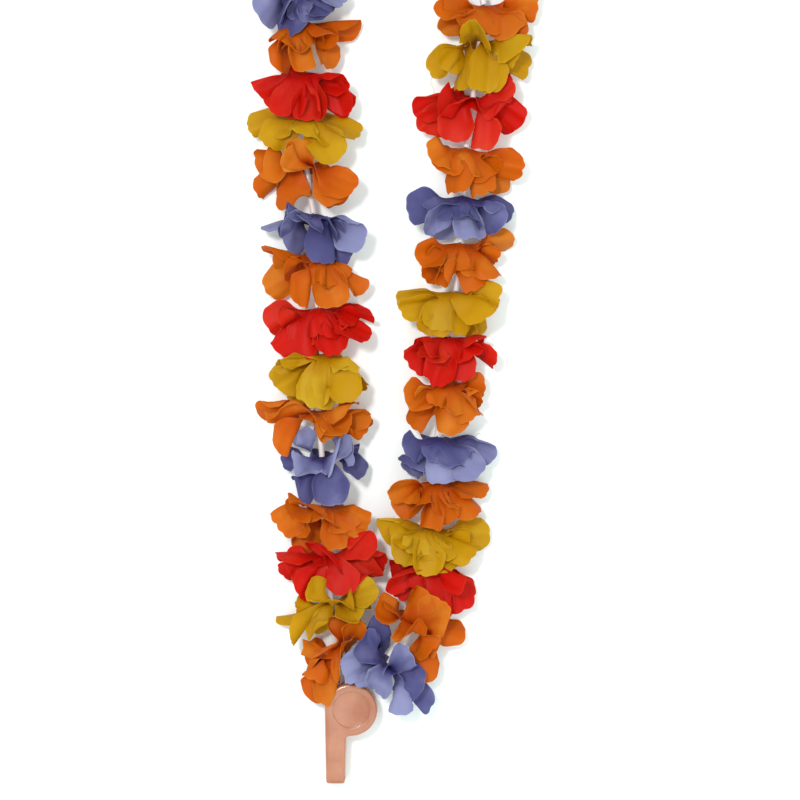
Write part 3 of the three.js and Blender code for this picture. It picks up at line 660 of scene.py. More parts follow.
# Where the cloth of one petal lies, for points given by their distance from the hub and share across.
def clothPoints(flower, flowers, petals, k, distance, across):
    count = len(petals)
    petal, after, before = petals[k], petals[(k + 1) % count], petals[k - 1]
    notch = cloth["notchRadius"]
    ahead = across >= 0
    edge = abs(across)

    # Inside the notches the petals are one sheet, and each shares its edges with the next.
    radius, along, lean = middleAt(petal, distance)
    afterRadius, afterAlong, _ = middleAt(after, distance)
    beforeRadius, beforeAlong, _ = middleAt(before, distance)
    toEdge = smoothstep(edge, 0, 1) / 2
    joinedRadius = lerp(radius, np.where(ahead, afterRadius, beforeRadius), toEdge)
    joinedAlong = lerp(along, np.where(ahead, afterAlong, beforeAlong), toEdge)

    def sectors(reach):
        own = bearingAt(petal, reach)
        aheadTurn = bearingAt(after, reach) + (2 * math.pi if k == count - 1 else 0) - own
        behindTurn = own - bearingAt(before, reach) + (2 * math.pi if k == 0 else 0)
        return own, aheadTurn / 2, behindTurn / 2

    own, aheadTurn, behindTurn = sectors(joinedRadius)
    joinedTurn = across * np.where(ahead, aheadTurn, behindTurn)

    # Past the notches each petal is free: it curls, folds and twists.
    grow = smoothstep(distance, notch * cloth["freeFrom"], notch * cloth["freeAt"])
    flatPart, liftPart = crossSection(petal, distance, across)
    half = cutHalfWidth(petal, distance)
    twist = petal.twist * grow
    sideways = half * (flatPart * np.cos(twist) - liftPart * np.sin(twist))
    lift = half * (flatPart * np.sin(twist) + liftPart * np.cos(twist))
    lift = lift + petal.wave * grow * edge ** 2 * np.sin(distance * folds["waveTurn"] + petal.ripple + across)
    inward = lift * np.sin(lean)
    radial = np.maximum(radius - inward, cloth["hubRadius"])
    freeRadius = np.hypot(radial, sideways)
    freeTurn = np.arctan2(sideways, radial)
    freeAlong = along + lift * np.cos(lean)

    _, aheadFree, behindFree = sectors(freeRadius)
    leastRoom = np.clip(cloth["lapReach"] / freeRadius, cloth["lapLeast"], cloth["lapMost"])
    aheadRoom = np.maximum(aheadFree * cloth["lap"], leastRoom)
    behindRoom = np.maximum(behindFree * cloth["lap"], leastRoom)
    freeTurn = softClamp(freeTurn, -behindRoom, aheadRoom)
    sector = np.where(freeTurn >= 0, aheadFree, behindFree)
    over = np.where(freeTurn >= 0, petal.overAhead, petal.overBehind)
    freeAlong = freeAlong + over * cloth["lapGap"] * smoothstep(abs(freeTurn) / sector, 0.7, 1.0)

    loose = smoothstep(distance, notch * (0.5 + 0.5 * edge ** 2), notch * cloth["freeAt"])
    reach = lerp(joinedRadius, freeRadius, loose)
    turn = lerp(joinedTurn, freeTurn, loose)
    layerShift = 0 if petals is flower.petals else cloth["layerGap"] * flower.leanWay
    along = lerp(joinedAlong, freeAlong, loose) + layerShift
    return settle(flower, flowers, reach, bearingAt(petal, reach) + turn, along)


# One flower's cloth: its points, its faces, where each point lies in the flat cut, and what the
# finish reads: the share of the way to the tip, the share across and the distance to the cut edge.
def flowerSheet(flower, flowers, petals):
    columns, notch = cloth["columns"], cloth["notchRadius"]
    shares = np.linspace(0, 1, cloth["outerRows"] + 1)[1:]
    inner = np.array(cloth["innerRows"])
    farFromEdge = 6.0  # mm, farther than the finish looks for the cut edge
    places, flats, details, faces = [], [], [], []
    for k, petal in enumerate(petals):
        line = np.linspace(-1, 1, columns)
        reach = cutReach(petal, line)
        outerPart = notch + shares[:, None] * (reach[None, :] - notch)
        distance = np.vstack([np.repeat(inner[:, None], columns, 1), outerPart])
        across = np.broadcast_to(line, distance.shape)
        points = clothPoints(flower, flowers, petals, k, distance, across)
        half = cutHalfWidth(petal, distance)
        root = 2 * math.pi / cloth["petalCount"] * k
        joined = distance <= notch
        joinedTurn = across * math.pi / cloth["petalCount"]
        flatTurn = root + np.where(joined, joinedTurn, np.arctan2(across * half, distance))
        flatReach = np.where(joined, distance, np.hypot(distance, across * half))
        # Each point carries its petal's share of painted lit tone for the finish.
        tone = np.full_like(flatReach, petal.tone)
        flat = np.stack([flatReach * np.cos(flatTurn), flatReach * np.sin(flatTurn), tone], -1)
        flats.append(flat.reshape(-1, 3))
        edge = np.minimum((1 - abs(across)) * half, reach - distance)
        edge = np.where(distance < notch, farFromEdge, edge)
        details.append(np.stack([distance / petal.length, across, edge], -1).reshape(-1, 3))
        start = sum(len(part) for part in places)
        places.append(points.reshape(-1, 3))
        rows = len(distance)
        grid = start + np.arange(rows * columns).reshape(rows, columns)
        quads = np.stack([grid[:-1, :-1], grid[1:, :-1], grid[1:, 1:], grid[:-1, 1:]], -1)
        faces.append(quads.reshape(-1, 4))
    points, flats = np.concatenate(places), np.concatenate(flats)
    details, faces = np.concatenate(details), np.concatenate(faces)
    corners = flats[faces]
    one, two = corners[:, 2] - corners[:, 0], corners[:, 3] - corners[:, 1]
    flatArea = float(np.abs(one[:, 0] * two[:, 1] - one[:, 1] * two[:, 0]).sum() / 2)
    # The petals' shared edges become one line of points.
    cells = np.round(points / cloth["mergeWithin"]).astype(np.int64)
    _, first, index = np.unique(cells, axis=0, return_index=True, return_inverse=True)
    faces = index.reshape(-1)[faces]
    points = relaxed(points[first], details[first][:, 0] * cloth["petalLength"], faces)
    return points, flats[first], details[first], faces, flatArea


# Draws each point towards the middle of its neighbours, near the hub and where the petals part.
def relaxed(points, distance, faces):
    edges = np.concatenate([faces[:, [k, (k + 1) % 4]] for k in range(4)])
    edges = edges[edges[:, 0] != edges[:, 1]]
    edges, uses = np.unique(np.sort(edges, axis=1), axis=0, return_counts=True)
    rim = np.zeros(len(points), bool)
    rim[edges[uses == 1].ravel()] = True
    # A point on a free edge only follows its neighbours on that edge.
    inside = edges[(uses > 1) | (rim[edges[:, 0]] & rim[edges[:, 1]])]
    until = cloth["relaxUntil"]
    pull = cloth["relaxPull"] * (1 - smoothstep(distance, until - cloth["relaxFade"], until))
    pull = pull * smoothstep(distance, *cloth["relaxFrom"])
    for _ in range(cloth["relaxSteps"]):
        total = np.zeros_like(points)
        count = np.zeros(len(points))
        for one, two in ((0, 1), (1, 0)):
            here, there = inside[:, one], inside[:, two]
            follows = ~rim[here] | rim[there]
            np.add.at(total, here[follows], points[there[follows]])
            np.add.at(count, here[follows], 1)
        mean = total / np.maximum(count, 1)[:, None]
        points = np.where(count[:, None] > 0, points + (mean - points) * pull[:, None], points)
    return points


# A mesh as a piece of the lei, in place of one or more nodes of the frame.
def makePiece(name, points, faces, slot, material, *nodes):
    mesh = bpy.data.meshes.new(name)
    mesh.from_pydata([tuple(point) for point in np.asarray(points) * mm], [], [tuple(face) for face in faces])
    mesh.validate()
    mesh.materials.append(material)
    mesh.shade_smooth()
    piece = bpy.data.objects.new(name, mesh)
    bpy.context.scene.collection.objects.link(piece)
    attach(piece, "root")
    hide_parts(*nodes)
    return piece


def applyModifiers(piece):
    evaluated = piece.evaluated_get(bpy.context.evaluated_depsgraph_get())
    mesh = bpy.data.meshes.new_from_object(evaluated)
    piece.modifiers.clear()
    piece.data = mesh
    return piece


# A node's output in one material. Sums with it add Math nodes.
class Signal:
    def __init__(self, tree, socket=None):
        self.tree = tree
        self.socket = socket

    def node(self, kind, settings, inputs, output=0):
        made = self.tree.nodes.new(kind)
        for name, value in settings.items():
            setattr(made, name, value)
        for name, value in inputs.items():
            if isinstance(value, Signal):
                self.tree.links.new(value.socket, made.inputs[name])
            else:
                made.inputs[name].default_value = value
        return Signal(self.tree, made.outputs[output] if made.outputs else None)

    def maths(self, operation, *values):
        return self.node("ShaderNodeMath", {"operation": operation}, dict(enumerate(values)))

    def __add__(self, other):
        return self.maths("ADD", self, other)

    __radd__ = __add__

    def __sub__(self, other):
        return self.maths("SUBTRACT", self, other)

    def __rsub__(self, other):
        return self.maths("SUBTRACT", other, self)

    def __mul__(self, other):
        return self.maths("MULTIPLY", self, other)

    __rmul__ = __mul__

    # From 0 at low to 1 at high, eased at both ends.
    def clamped(self, low, high):
        return self.node("ShaderNodeMapRange", {"interpolation_type": "SMOOTHSTEP"},
                         {"Value": self, "From Min": low, "From Max": high})

    def part(self, number):
        return self.node("ShaderNodeSeparateXYZ", {}, {0: self}, number)

    def mix(self, one, two):
        return self.node("ShaderNodeMix", {"data_type": "RGBA"}, {0: self, 6: one, 7: two}, 2)


def newMaterial(name):
    material = bpy.data.materials.new(name)
    material.use_nodes = True
    material.node_tree.nodes.clear()
    return material, Signal(material.node_tree)


def closeMaterial(start, surface):
    start.node("ShaderNodeOutputMaterial", {}, {"Surface": surface})


# A screen colour from 0 to 255 as the light it stands for.
def paint(red, green, blue):
    def linear(value):
        share = value / 255
        return share / 12.92 if share <= 0.04045 else ((share + 0.055) / 1.055) ** 2.4
    return (linear(red), linear(green), linear(blue), 1)


clothFinish = {
    "threadPitch": 0.46,         # mm from one thread of the weave to the next
    "weaveDepth": 0.05,
    "creaseDepth": 0.5,
    "creaseScale": 90.0,
    "patchScale": 60.0,
    "bumpStrength": 0.25,
    "bumpDistance": 0.0006,
    # From deep at the hub to plain: partly the dye and partly painted shade where the petals crowd the hub.
    "plainFrom": (0.12, 0.85),   # shares of its length over which a petal turns from deep to plain,
    "plainLength": 0.75,         # what that gives of the plain tone,
    "plainPatches": 0.5,         # what the patches give,
    "plainLess": 0.12,           # and what comes off again
    # At the cut edge the cloth is paler, partly its heat-cut rim and partly painted light coming through the
    # thin cloth.
    "rimReach": 0.9,             # mm from the cut edge
    "rimPaleAndLight": 0.3,
    "patchRange": (0.45, 0.7),
    "patchPale": 0.3,
    # Pale petals: each petal's share of painted lit tone turns the cloth towards the pale tone.
    "toneRange": (0.1, 1.0),
    "paintedLightPale": 0.7,
    "roughness": (0.34, 0.3),    # least, and what the patches add
    "sheen": 0.02,
    "sheenRoughness": 0.4,
    "specular": 0.18,
    "through": 0.45,             # share of the light that comes through the cloth
    # Each colour's tones: deep, darker for the hub's deeper dye and painted shade; plain, the cloth's own
    # colour; and pale, its lit tone, for painted highlight on pale petals, the cut rim and paler patches of
    # the dye.
    "blue": {"deep": paint(62, 56, 116), "plain": paint(98, 94, 148), "pale": paint(166, 164, 208)},
    "orange": {"deep": paint(200, 74, 0), "plain": paint(214, 104, 2), "pale": paint(228, 144, 40)},
    "red": {"deep": paint(204, 10, 2), "plain": paint(216, 22, 6), "pale": paint(228, 66, 36)},
    "yellow": {"deep": paint(196, 138, 0), "plain": paint(208, 156, 2), "pale": paint(218, 182, 40)},
}


def clothMaterial(colour):
    tones = clothFinish[colour]
    material, start = newMaterial("cloth_" + colour)
    flat = start.node("ShaderNodeAttribute", {"attribute_name": "flatPlace"}, {}, "Vector")
    detail = start.node("ShaderNodeAttribute", {"attribute_name": "petalPlace"}, {}, "Vector")
    reach, edge = detail.part(0), detail.part(2)
    threadX, threadY, tone = flat.part(0), flat.part(1), flat.part(2)

    # Fine creases over the weave.
    place = start.node("ShaderNodeTexCoord", {}, {}, "Object")
    crease = start.node("ShaderNodeTexNoise", {"noise_type": "RIDGED_MULTIFRACTAL"},
                        {"Vector": place, "Scale": clothFinish["creaseScale"], "Detail": 2.0,
                         "Roughness": 0.45})
    patches = start.node("ShaderNodeTexNoise", {},
                         {"Vector": place, "Scale": clothFinish["patchScale"], "Detail": 3.0})
    turn = 2 * math.pi / clothFinish["threadPitch"]
    weave = start.maths("SINE", threadX * turn) * start.maths("SINE", threadY * turn)
    height = weave * clothFinish["weaveDepth"] + crease * clothFinish["creaseDepth"]
    normal = start.node("ShaderNodeBump", {}, {"Strength": clothFinish["bumpStrength"],
                                               "Distance": clothFinish["bumpDistance"], "Height": height})

    # Deep near the hub and plain further out, partly the dye and partly painted shade where the petals crowd
    # the hub, and pale at the cut edge and on pale petals, where light is painted too.
    outward = reach.clamped(*clothFinish["plainFrom"])
    shade = outward * clothFinish["plainLength"] + patches * clothFinish["plainPatches"]
    shade = shade - clothFinish["plainLess"]
    body = shade.clamped(0.0, 1.0).mix(tones["deep"], tones["plain"])
    # Paler at the cut edge: the heat-cut rim, with painted light coming through the thin cloth.
    pale = (1 - edge.clamped(0.0, clothFinish["rimReach"])) * clothFinish["rimPaleAndLight"]
    pale = pale + patches.clamped(*clothFinish["patchRange"]) * clothFinish["patchPale"]
    # Painted highlight on pale petals, growing towards the tip.
    pale = pale + tone.clamped(*clothFinish["toneRange"]) * outward * clothFinish["paintedLightPale"]
    body = pale.clamped(0.0, 1.0).mix(body, tones["pale"])
    leastRough, moreRough = clothFinish["roughness"]
    roughness = patches * moreRough + leastRough
    cloth = start.node("ShaderNodeBsdfPrincipled", {}, {
        "Base Color": body, "Roughness": roughness, "Normal": normal,
        "Sheen Weight": clothFinish["sheen"], "Sheen Roughness": clothFinish["sheenRoughness"],
        "Specular IOR Level": clothFinish["specular"],
    })
    through = start.node("ShaderNodeBsdfTranslucent", {}, {"Color": tones["plain"], "Normal": normal})
    mixed = start.node("ShaderNodeMixShader", {}, {0: clothFinish["through"], 1: cloth, 2: through})
    closeMaterial(start, mixed)
    return material


plasticFinish = {
    "cloudScale": 70.0,
    "cloudRange": (0.3, 0.7),
    "cloudRough": 0.12,          # what the clouds add to the roughness
    "fineScale": 900.0,
    "bumpStrength": 0.08,
    "bumpDistance": 0.0002,
}


def plasticMaterial(name, plain, deep, roughness, extra):
    material, start = newMaterial(name)
    place = start.node("ShaderNodeTexCoord", {}, {}, "Object")
    cloudy = start.node("ShaderNodeTexNoise", {},
                        {"Vector": place, "Scale": plasticFinish["cloudScale"], "Detail": 3.0})
    fine = start.node("ShaderNodeTexNoise", {},
                      {"Vector": place, "Scale": plasticFinish["fineScale"], "Detail": 2.0})
    colour = cloudy.clamped(*plasticFinish["cloudRange"]).mix(deep, plain)
    normal = start.node("ShaderNodeBump", {}, {"Strength": plasticFinish["bumpStrength"],
                                               "Distance": plasticFinish["bumpDistance"], "Height": fine})
    rough = cloudy * plasticFinish["cloudRough"] + roughness
    inputs = {"Base Color": colour, "Roughness": rough, "Normal": normal}
    inputs.update(extra)
    closeMaterial(start, start.node("ShaderNodeBsdfPrincipled", {}, inputs))
    return material


materials = {colour: clothMaterial(colour) for colour in ("blue", "orange", "red", "yellow")}
materials["straw"] = plasticMaterial("straw_plastic", paint(238, 224, 222), paint(220, 202, 202), 0.24,
                                     {"Transmission Weight": 0.2, "IOR": 1.45})
materials["thread"] = plasticMaterial("thread", paint(96, 84, 84), paint(58, 50, 54), 0.7, {})
materials["whistle"] = plasticMaterial("whistle_plastic", paint(174, 112, 84), paint(160, 94, 68), 0.16,
                                       {"Coat Weight": 0.35, "Coat Roughness": 0.12,
                                        "Subsurface Weight": 0.15, "Subsurface Scale": 0.004})
materials["pea"] = plasticMaterial("pea_plastic", paint(190, 130, 104), paint(176, 110, 84), 0.22, {})
print("finishes made")


# Each flower's upper petals, the way that they lean on the whole, and its lower petals.
flowers = layOutFlowers()
for flower in flowers:
    flower.petals = petalsOf(flower, flower.seen, 0)
    flower.leanWay = math.copysign(1, sum(math.sin(petal.lean) * (1 + math.sin(petal.bearing))
                                          for petal in flower.petals))
    flower.underPetals = underPetalsOf(flower)


def nodeOf(flower):
    return f"flower_{flower.index + 1:02d}_{flower.colour}"


def makeLayer(flower, petals, layerName):
    points, flats, details, faces, flatArea = flowerSheet(flower, flowers, petals)
    node = nodeOf(flower)
    piece = makePiece(f"cloth_{node}_{layerName}", points, faces, "cloth_" + flower.colour,
                      materials[flower.colour], node)
    flatPlace = piece.data.attributes.new("flatPlace", "FLOAT_VECTOR", "POINT")
    flatPlace.data.foreach_set("vector", flats.ravel())
    petalPlace = piece.data.attributes.new("petalPlace", "FLOAT_VECTOR", "POINT")
    petalPlace.data.foreach_set("vector", details.ravel())
    solid = piece.modifiers.new("cloth thickness", "SOLIDIFY")
    solid.thickness = cloth["thickness"] * mm
    solid.offset = 0
    applyModifiers(piece)
    piece.data.set_sharp_from_angle(angle=math.radians(cloth["sharpFrom"]))
    flatArea * mm * mm
    return piece


clothPieces = []
for flower in flowers:
    clothPieces.append(makeLayer(flower, flower.petals, "upper"))
    clothPieces.append(makeLayer(flower, flower.underPetals, "lower"))
print("flowers made:", len(flowers), "with", sum(len(piece.data.polygons) for piece in clothPieces), "faces")


# The faces between rings of points that have the same number of sides.
def ringFaces(count, sides, closed=False):
    faces = []
    for k in range(count if closed else count - 1):
        here, there = k * sides, (k + 1) % count * sides
        for j in range(sides):
            after = (j + 1) % sides
            faces.append((here + j, here + after, there + after, there + j))
    return faces


# Rings of points round a line of points, joined into a tube. size gives each ring point's radius.
def tube(line, sides, size, closed=False):
    line = np.asarray(line, float)
    following = np.roll(line, -1, 0) if closed else np.vstack([line[1:], line[-1:] * 2 - line[-2:-1]])
    preceding = np.roll(line, 1, 0) if closed else np.vstack([line[:1] * 2 - line[1:2], line[:-1]])
    forward = following - preceding
    forward /= np.linalg.norm(forward, axis=1)[:, None]
    side = np.cross(np.array([0.0, 0.0, 1.0]), forward)
    side /= np.maximum(np.linalg.norm(side, axis=1), 1e-6)[:, None]
    up = np.cross(forward, side)
    turn = 2 * math.pi * np.arange(sides) / sides
    lengths = np.concatenate([[0], np.cumsum(np.linalg.norm(np.diff(line, axis=0), axis=1))])
    points = []
    for k, middle in enumerate(line):
        around = np.cos(turn)[:, None] * side[k] + np.sin(turn)[:, None] * up[k]
        points.append(middle + size(lengths[k], turn)[:, None] * around)
    return np.concatenate(points), ringFaces(len(line), sides, closed)


def tubeEnds(points, sides):
    last = len(points) - 1
    return [tuple(range(sides)), tuple(range(last, last - sides, -1))]


# Loose fibres at the cut edges: the strand and number of the flower, counted from 0, the pixels where
# the fibre leaves it and ends, and its bow in pixels.
fibres = {
    "radius": 0.11,
    "taper": 0.5,
    "sides": 6,
    "steps": 16,
    "drop": -2.0,
    "wobble": 0.5,
    "places": [("right", 13, (431, 78), (440, 96), 4.0), ("right", 5, (466, 433), (479, 436), 5.0),
               ("right", 5, (474, 434), (484, 438), -3.0), ("left", 6, (268, 273), (261, 275), 1.0),
               ("left", 6, (275, 268), (265, 270), -1.0)],
}


def makeFibres():
    sides = fibres["sides"]
    heightWeight = 0.2  # of two points of cloth equally near, the fibre leaves the higher one
    for number, (strand, place, start, end, bow) in enumerate(fibres["places"], 1):
        flower = [one for one in flowers if one.strand == strand][place]
        piece = clothPieces[2 * flower.index]
        points = np.array([vertex.co for vertex in piece.data.vertices]) / mm
        away = np.linalg.norm(points[:, :2] - photoPoint(start), axis=1)
        root = points[np.argmin(away - heightWeight * points[:, 2])]
        reach = np.append(photoPoint(end) - root[:2], fibres["drop"])
        side = np.array([reach[1], -reach[0], 0]) / np.linalg.norm(reach[:2])
        share = np.linspace(0, 1, fibres["steps"])[:, None]
        sway = bow * layout["mmPerPixel"] * np.sin(math.pi * share)
        sway = sway + fibres["wobble"] * np.sin(3 * math.pi * share)
        line = root + reach * share + side * sway

        def thinning(length, turn):
            radius = fibres["radius"] * (1 - fibres["taper"] * length / np.linalg.norm(reach))
            return np.full(len(turn), radius)

        points, faces = tube(line, sides, thinning)
        faces += tubeEnds(points, sides)
        makePiece(f"loose_fibre_{number}", points, faces, "cloth_" + flower.colour,
                  materials[flower.colour], nodeOf(flower))


makeFibres()
print("loose fibres made:", len(fibres["places"]))

string = {
    "radius": 0.45,
    "step": 1.0,
    "sides": 9,
    "pitch": 3.2,       # length of one turn of the thread's three yarns
    "yarnDepth": 0.16,
    "strawRadius": 1.8,
    "strawBore": 1.5,
    "strawGap": 0.65,
    "strawSides": 20,
    "strawSharpFrom": 40,
}


# The points that the thread runs through: each flower's centre, and the tie between the two strands.
def threadStops():
    stops = [np.append(flower.centre, layout["threadHeight"]) for flower in flowers]
    stops.insert(len(leftStrand), np.append(tiePoint, layout["tieHeight"]))
    return stops


stops = threadStops()
route = []
for one, two in zip(stops, stops[1:] + stops[:1]):
    steps = max(2, round(np.linalg.norm(two - one) / string["step"]))
    route += [lerp(one, two, j / steps) for j in range(steps)]


# The thread's radius, with its three yarns standing out.
def yarns(length, turn):
    wind = np.cos(3 * turn - 2 * math.pi * length / string["pitch"])
    return string["radius"] * (1 + string["yarnDepth"] * wind)


points, faces = tube(route, string["sides"], yarns, closed=True)
makePiece("thread", points, faces, "straw", materials["thread"], "thread_with_straws")


# A straw between each flower and the next, but none to each side of the tie.
def makeStraws():
    bore, outer, sides = string["strawBore"], string["strawRadius"], string["strawSides"]
    turn = 2 * math.pi * np.arange(sides) / sides
    tieStop = len(leftStrand)
    count = 0
    for k, one in enumerate(stops):
        after = (k + 1) % len(stops)
        if tieStop in (k, after):
            continue
        two = stops[after]
        forward = (two - one) / np.linalg.norm(two - one)
        start, end = one + forward * string["strawGap"], two - forward * string["strawGap"]
        side = np.cross([0, 0, 1], forward)
        side = side / np.linalg.norm(side)
        up = np.cross(forward, side)
        around = np.cos(turn)[:, None] * side + np.sin(turn)[:, None] * up
        rings = [start + bore * around, start + outer * around, end + outer * around, end + bore * around]
        faces = ringFaces(len(rings), sides, closed=True)
        count += 1
        straw = makePiece(f"straw_{count:02d}", np.concatenate(rings), faces, "straw", materials["straw"],
                          "thread_with_straws")
        straw.data.set_sharp_from_angle(angle=math.radians(string["strawSharpFrom"]))
    return count


strawCount = makeStraws()
print("thread and straws made:", strawCount)

# The tie: a turn of thread through the whistle's lug, its knot and two short ends.
tie = {
    "turnRadius": 2.9,
    "turnSteps": 28,
    "turnSway": 0.35,
    "knotRadius": 1.25,
    "knotSteps": 60,
    "knotHeight": 1.6,           # against a third of its radius
    "knotShift": (0, 0.2, 0.3),
    "ends": [(-5.5, 1.5, -3.2), (4.8, 3.4, -4.6)],
    "endSteps": 14,
    "endBow": 0.22,              # share of its reach
    "endRise": 1.4,
}


def makeTiePiece(name, line, closed):
    points, faces = tube(line, string["sides"], yarns, closed)
    if not closed:
        faces += tubeEnds(points, string["sides"])
    makePiece(name, points, faces, "straw", materials["thread"], "thread_with_straws")


def makeTie():
    top = np.append(tiePoint, layout["tieHeight"])
    radius, steps = tie["turnRadius"], tie["turnSteps"]
    line = []
    for k in range(steps):
        turn = 2 * math.pi * k / steps
        sway = tie["turnSway"] * math.sin(2 * turn)
        line.append(top + np.array([sway, radius * math.sin(turn), radius * (math.cos(turn) - 1)]))
    makeTiePiece("tie_turn", line, closed=True)

    # The knot: a trefoil of thread drawn tight.
    turns = 2 * math.pi * np.arange(tie["knotSteps"]) / tie["knotSteps"]
    size = tie["knotRadius"] / 3
    knot = np.stack([size * (np.sin(turns) + 2 * np.sin(2 * turns)),
                     size * (np.cos(turns) - 2 * np.cos(2 * turns)),
                     -size * tie["knotHeight"] * np.sin(3 * turns)], -1)
    makeTiePiece("tie_knot", knot + top + np.array(tie["knotShift"]), closed=True)

    for number, (x, y, z) in enumerate(tie["ends"], 1):
        share = np.linspace(0, 1, tie["endSteps"])[:, None]
        bow = np.array([y, -x, 0]) * tie["endBow"] * np.sin(math.pi * share)
        rise = np.array([0, 0, tie["endRise"]]) * np.sin(math.pi * share)
        makeTiePiece(f"tie_end_{number}", top + np.array([x, y, z]) * share + bow + rise, closed=False)


makeTie()
print("tie made")


# The whistle lies on its flat side: a round chamber with a mouthpiece, a lug, and a pea inside.
whistle = {
    "radius": 16.0,
    "thickness": 18.0,
    "wall": 2.0,
    "reach": layout["mouthpieceReach"],
    "mouthWidth": 13.0,
    "taper": 0.8,            # the mouthpiece narrows by this on each side
    "corner": 1.6,
    "cornerFillet": 2.4,     # where the mouthpiece meets the chamber
    "airwayWidth": 3.4,
    "airwayInset": 1.2,      # its roof and floor stand this far in from the walls
    "windowFrom": 8.0,
    "windowTo": 11.8,
    "windowSlope": 2.6,
    "chamberEdge": 0.8,
    "lugRadius": 4.0,
    "lugThickness": 3.0,
    "lugEdge": 0.7,
    "lugHole": 1.3,
    "lugFlare": 0.5,
    "lugReach": 18.4,
    "neckShare": 0.97,       # width of the lug's neck against the lug
    "neckRoot": 2,           # and how deep it stands in the body
    "round": 1.7,            # the radius of its outer edges
    "roundSteps": 6,
    "dishRadius": 11.2,      # a shallow dish in both flat sides
    "dishDepth": 0.7,
    "dishEdge": 0.45,
    "lipFrom": 3.2,          # a ridge for the teeth, this far from the mouthpiece's end
    "lipRise": 0.55,
    "lipWidth": 0.9,
    "seam": 0.12,
    "seamRings": (-3.0, -0.35, -0.12),   # from the middle of its thickness; the last one stands out
    "soften": 0.25,
    "softenFrom": 40,        # degrees
    "sharpFrom": 38,
    "past": 1,               # how far a cutting shape stands out of what it cuts
    "pea": 4.6,
    "peaPlace": (-3.5, -5.0),
    "peaGap": 0.3,
    "peaFlash": 0.012,       # share of its radius that the mould's line stands out
    "peaFlashWidth": 0.06,   # radians
    "peaLess": 0.06,         # so that the line stays within its radius
}


def arc(centre, radius, start, end, steps):
    turns = np.linspace(start, end, steps + 1)
    return [np.array([centre[0] + radius * math.cos(turn), centre[1] + radius * math.sin(turn)])
            for turn in turns]


def circle(centre, radius, sides):
    return np.array(arc(centre, radius, 0, 2 * math.pi, sides)[:-1])


# The outline from straight above, round the chamber's middle and anticlockwise from its left.
def whistleOutline():
    radius, reach = whistle["radius"], whistle["reach"]
    left, inner = -radius, -radius + whistle["mouthWidth"]
    taper, corner, fillet = whistle["taper"], whistle["corner"], whistle["cornerFillet"]
    outerSteps, innerSteps, cornerSteps, filletSteps, chamberSteps = 14, 12, 6, 7, 84
    outline = [np.array([left + taper * k / outerSteps, -(reach - corner) * k / outerSteps])
               for k in range(outerSteps)]
    outline += arc((left + taper + corner, -reach + corner), corner, math.pi, 1.5 * math.pi, cornerSteps)
    outline += arc((inner - taper - corner, -reach + corner), corner, 1.5 * math.pi, 2 * math.pi, cornerSteps)
    # The fillet touches the mouthpiece's side and the chamber's round from outside.
    middleX = inner + fillet
    middleY = -math.sqrt((radius + fillet) ** 2 - middleX ** 2)
    outline += [np.array([lerp(inner - taper, inner, k / innerSteps),
                          lerp(-reach + corner, middleY, k / innerSteps)]) for k in range(1, innerSteps)]
    meets = math.atan2(-middleY, -middleX)
    outline += arc((middleX, middleY), fillet, math.pi, meets, filletSteps)
    start = math.atan2(middleY, middleX)
    outline += arc((0, 0), radius, start, math.pi, chamberSteps)[1:-1]
    return np.array(outline)


# Outline points moved square to the outline.
def inset(outline, amount):
    ahead = np.roll(outline, -1, 0) - outline
    behind = outline - np.roll(outline, 1, 0)
    ahead /= np.linalg.norm(ahead, axis=1)[:, None]
    behind /= np.linalg.norm(behind, axis=1)[:, None]
    along = ahead + behind
    along /= np.linalg.norm(along, axis=1)[:, None]
    return outline + amount * np.stack([-along[:, 1], along[:, 0]], -1)


# The first and the last of a stack of rings as faces.
def ringLids(count, sides):
    return [tuple(range(sides - 1, -1, -1)), tuple(range((count - 1) * sides, count * sides))]


def ringsToMesh(rings, name):
    sides = len(rings[0])
    points = np.concatenate(rings)
    faces = ringFaces(len(rings), sides) + ringLids(len(rings), sides)
    mesh = bpy.data.meshes.new(name)
    mesh.from_pydata([tuple(point) for point in points * mm], [], faces)
    mesh.validate()
    solidObject = bpy.data.objects.new(name, mesh)
    bpy.context.scene.collection.objects.link(solidObject)
    return solidObject


def atHeight(outline, height):
    return np.column_stack([outline + chamber, np.full(len(outline), height)])


# A round plate with rounded edges.
def roundPlate(radius, centre, low, high, edge, name):
    edgeSteps, sides = 3, 64
    rings = []
    for k in range(edgeSteps + 1):
        turn = math.pi / 2 * k / edgeSteps
        rings.append((radius - edge * (1 - math.sin(turn)), low + edge * (1 - math.cos(turn))))
    rings += [(size, low + high - height) for size, height in reversed(rings)]
    return ringsToMesh([atHeight(circle(centre, size, sides), height) for size, height in rings], name)


def box(x0, x1, y0, y1, z0, z1, name):
    outline = np.array([[x0, y0], [x1, y0], [x1, y1], [x0, y1]])
    return ringsToMesh([atHeight(outline, z0), atHeight(outline, z1)], name)


def combine(piece, other, operation):
    change = piece.modifiers.new("combine", "BOOLEAN")
    change.operation = operation
    change.object = other
    change.solver = "EXACT"
    applyModifiers(piece)
    bpy.data.objects.remove(other)


# The body as rings from its lower to its upper flat side, with a mould seam and the ridge for the teeth.
def whistleBody():
    thick, edge, steps = whistle["thickness"], whistle["round"], whistle["roundSteps"]
    outline = whistleOutline()
    lipAt = -whistle["reach"] + whistle["lipFrom"]
    ridge = np.exp(-((outline[:, 1] - lipAt) / whistle["lipWidth"]) ** 2) * whistle["lipRise"]
    outline = outline - (inset(outline, 1) - outline) * ridge[:, None]
    rings = []
    for k in range(steps + 1):
        turn = math.pi / 2 * k / steps
        rings.append(atHeight(inset(outline, edge * (1 - math.sin(turn))), edge * (1 - math.cos(turn))))
    for offset, rise in zip(whistle["seamRings"], (0, 0, whistle["seam"])):
        rings.append(atHeight(inset(outline, -rise), thick / 2 + offset))
    rings += [np.column_stack([ring[:, :2], thick - ring[:, 2]]) for ring in reversed(rings)]
    return ringsToMesh(rings, "whistle")


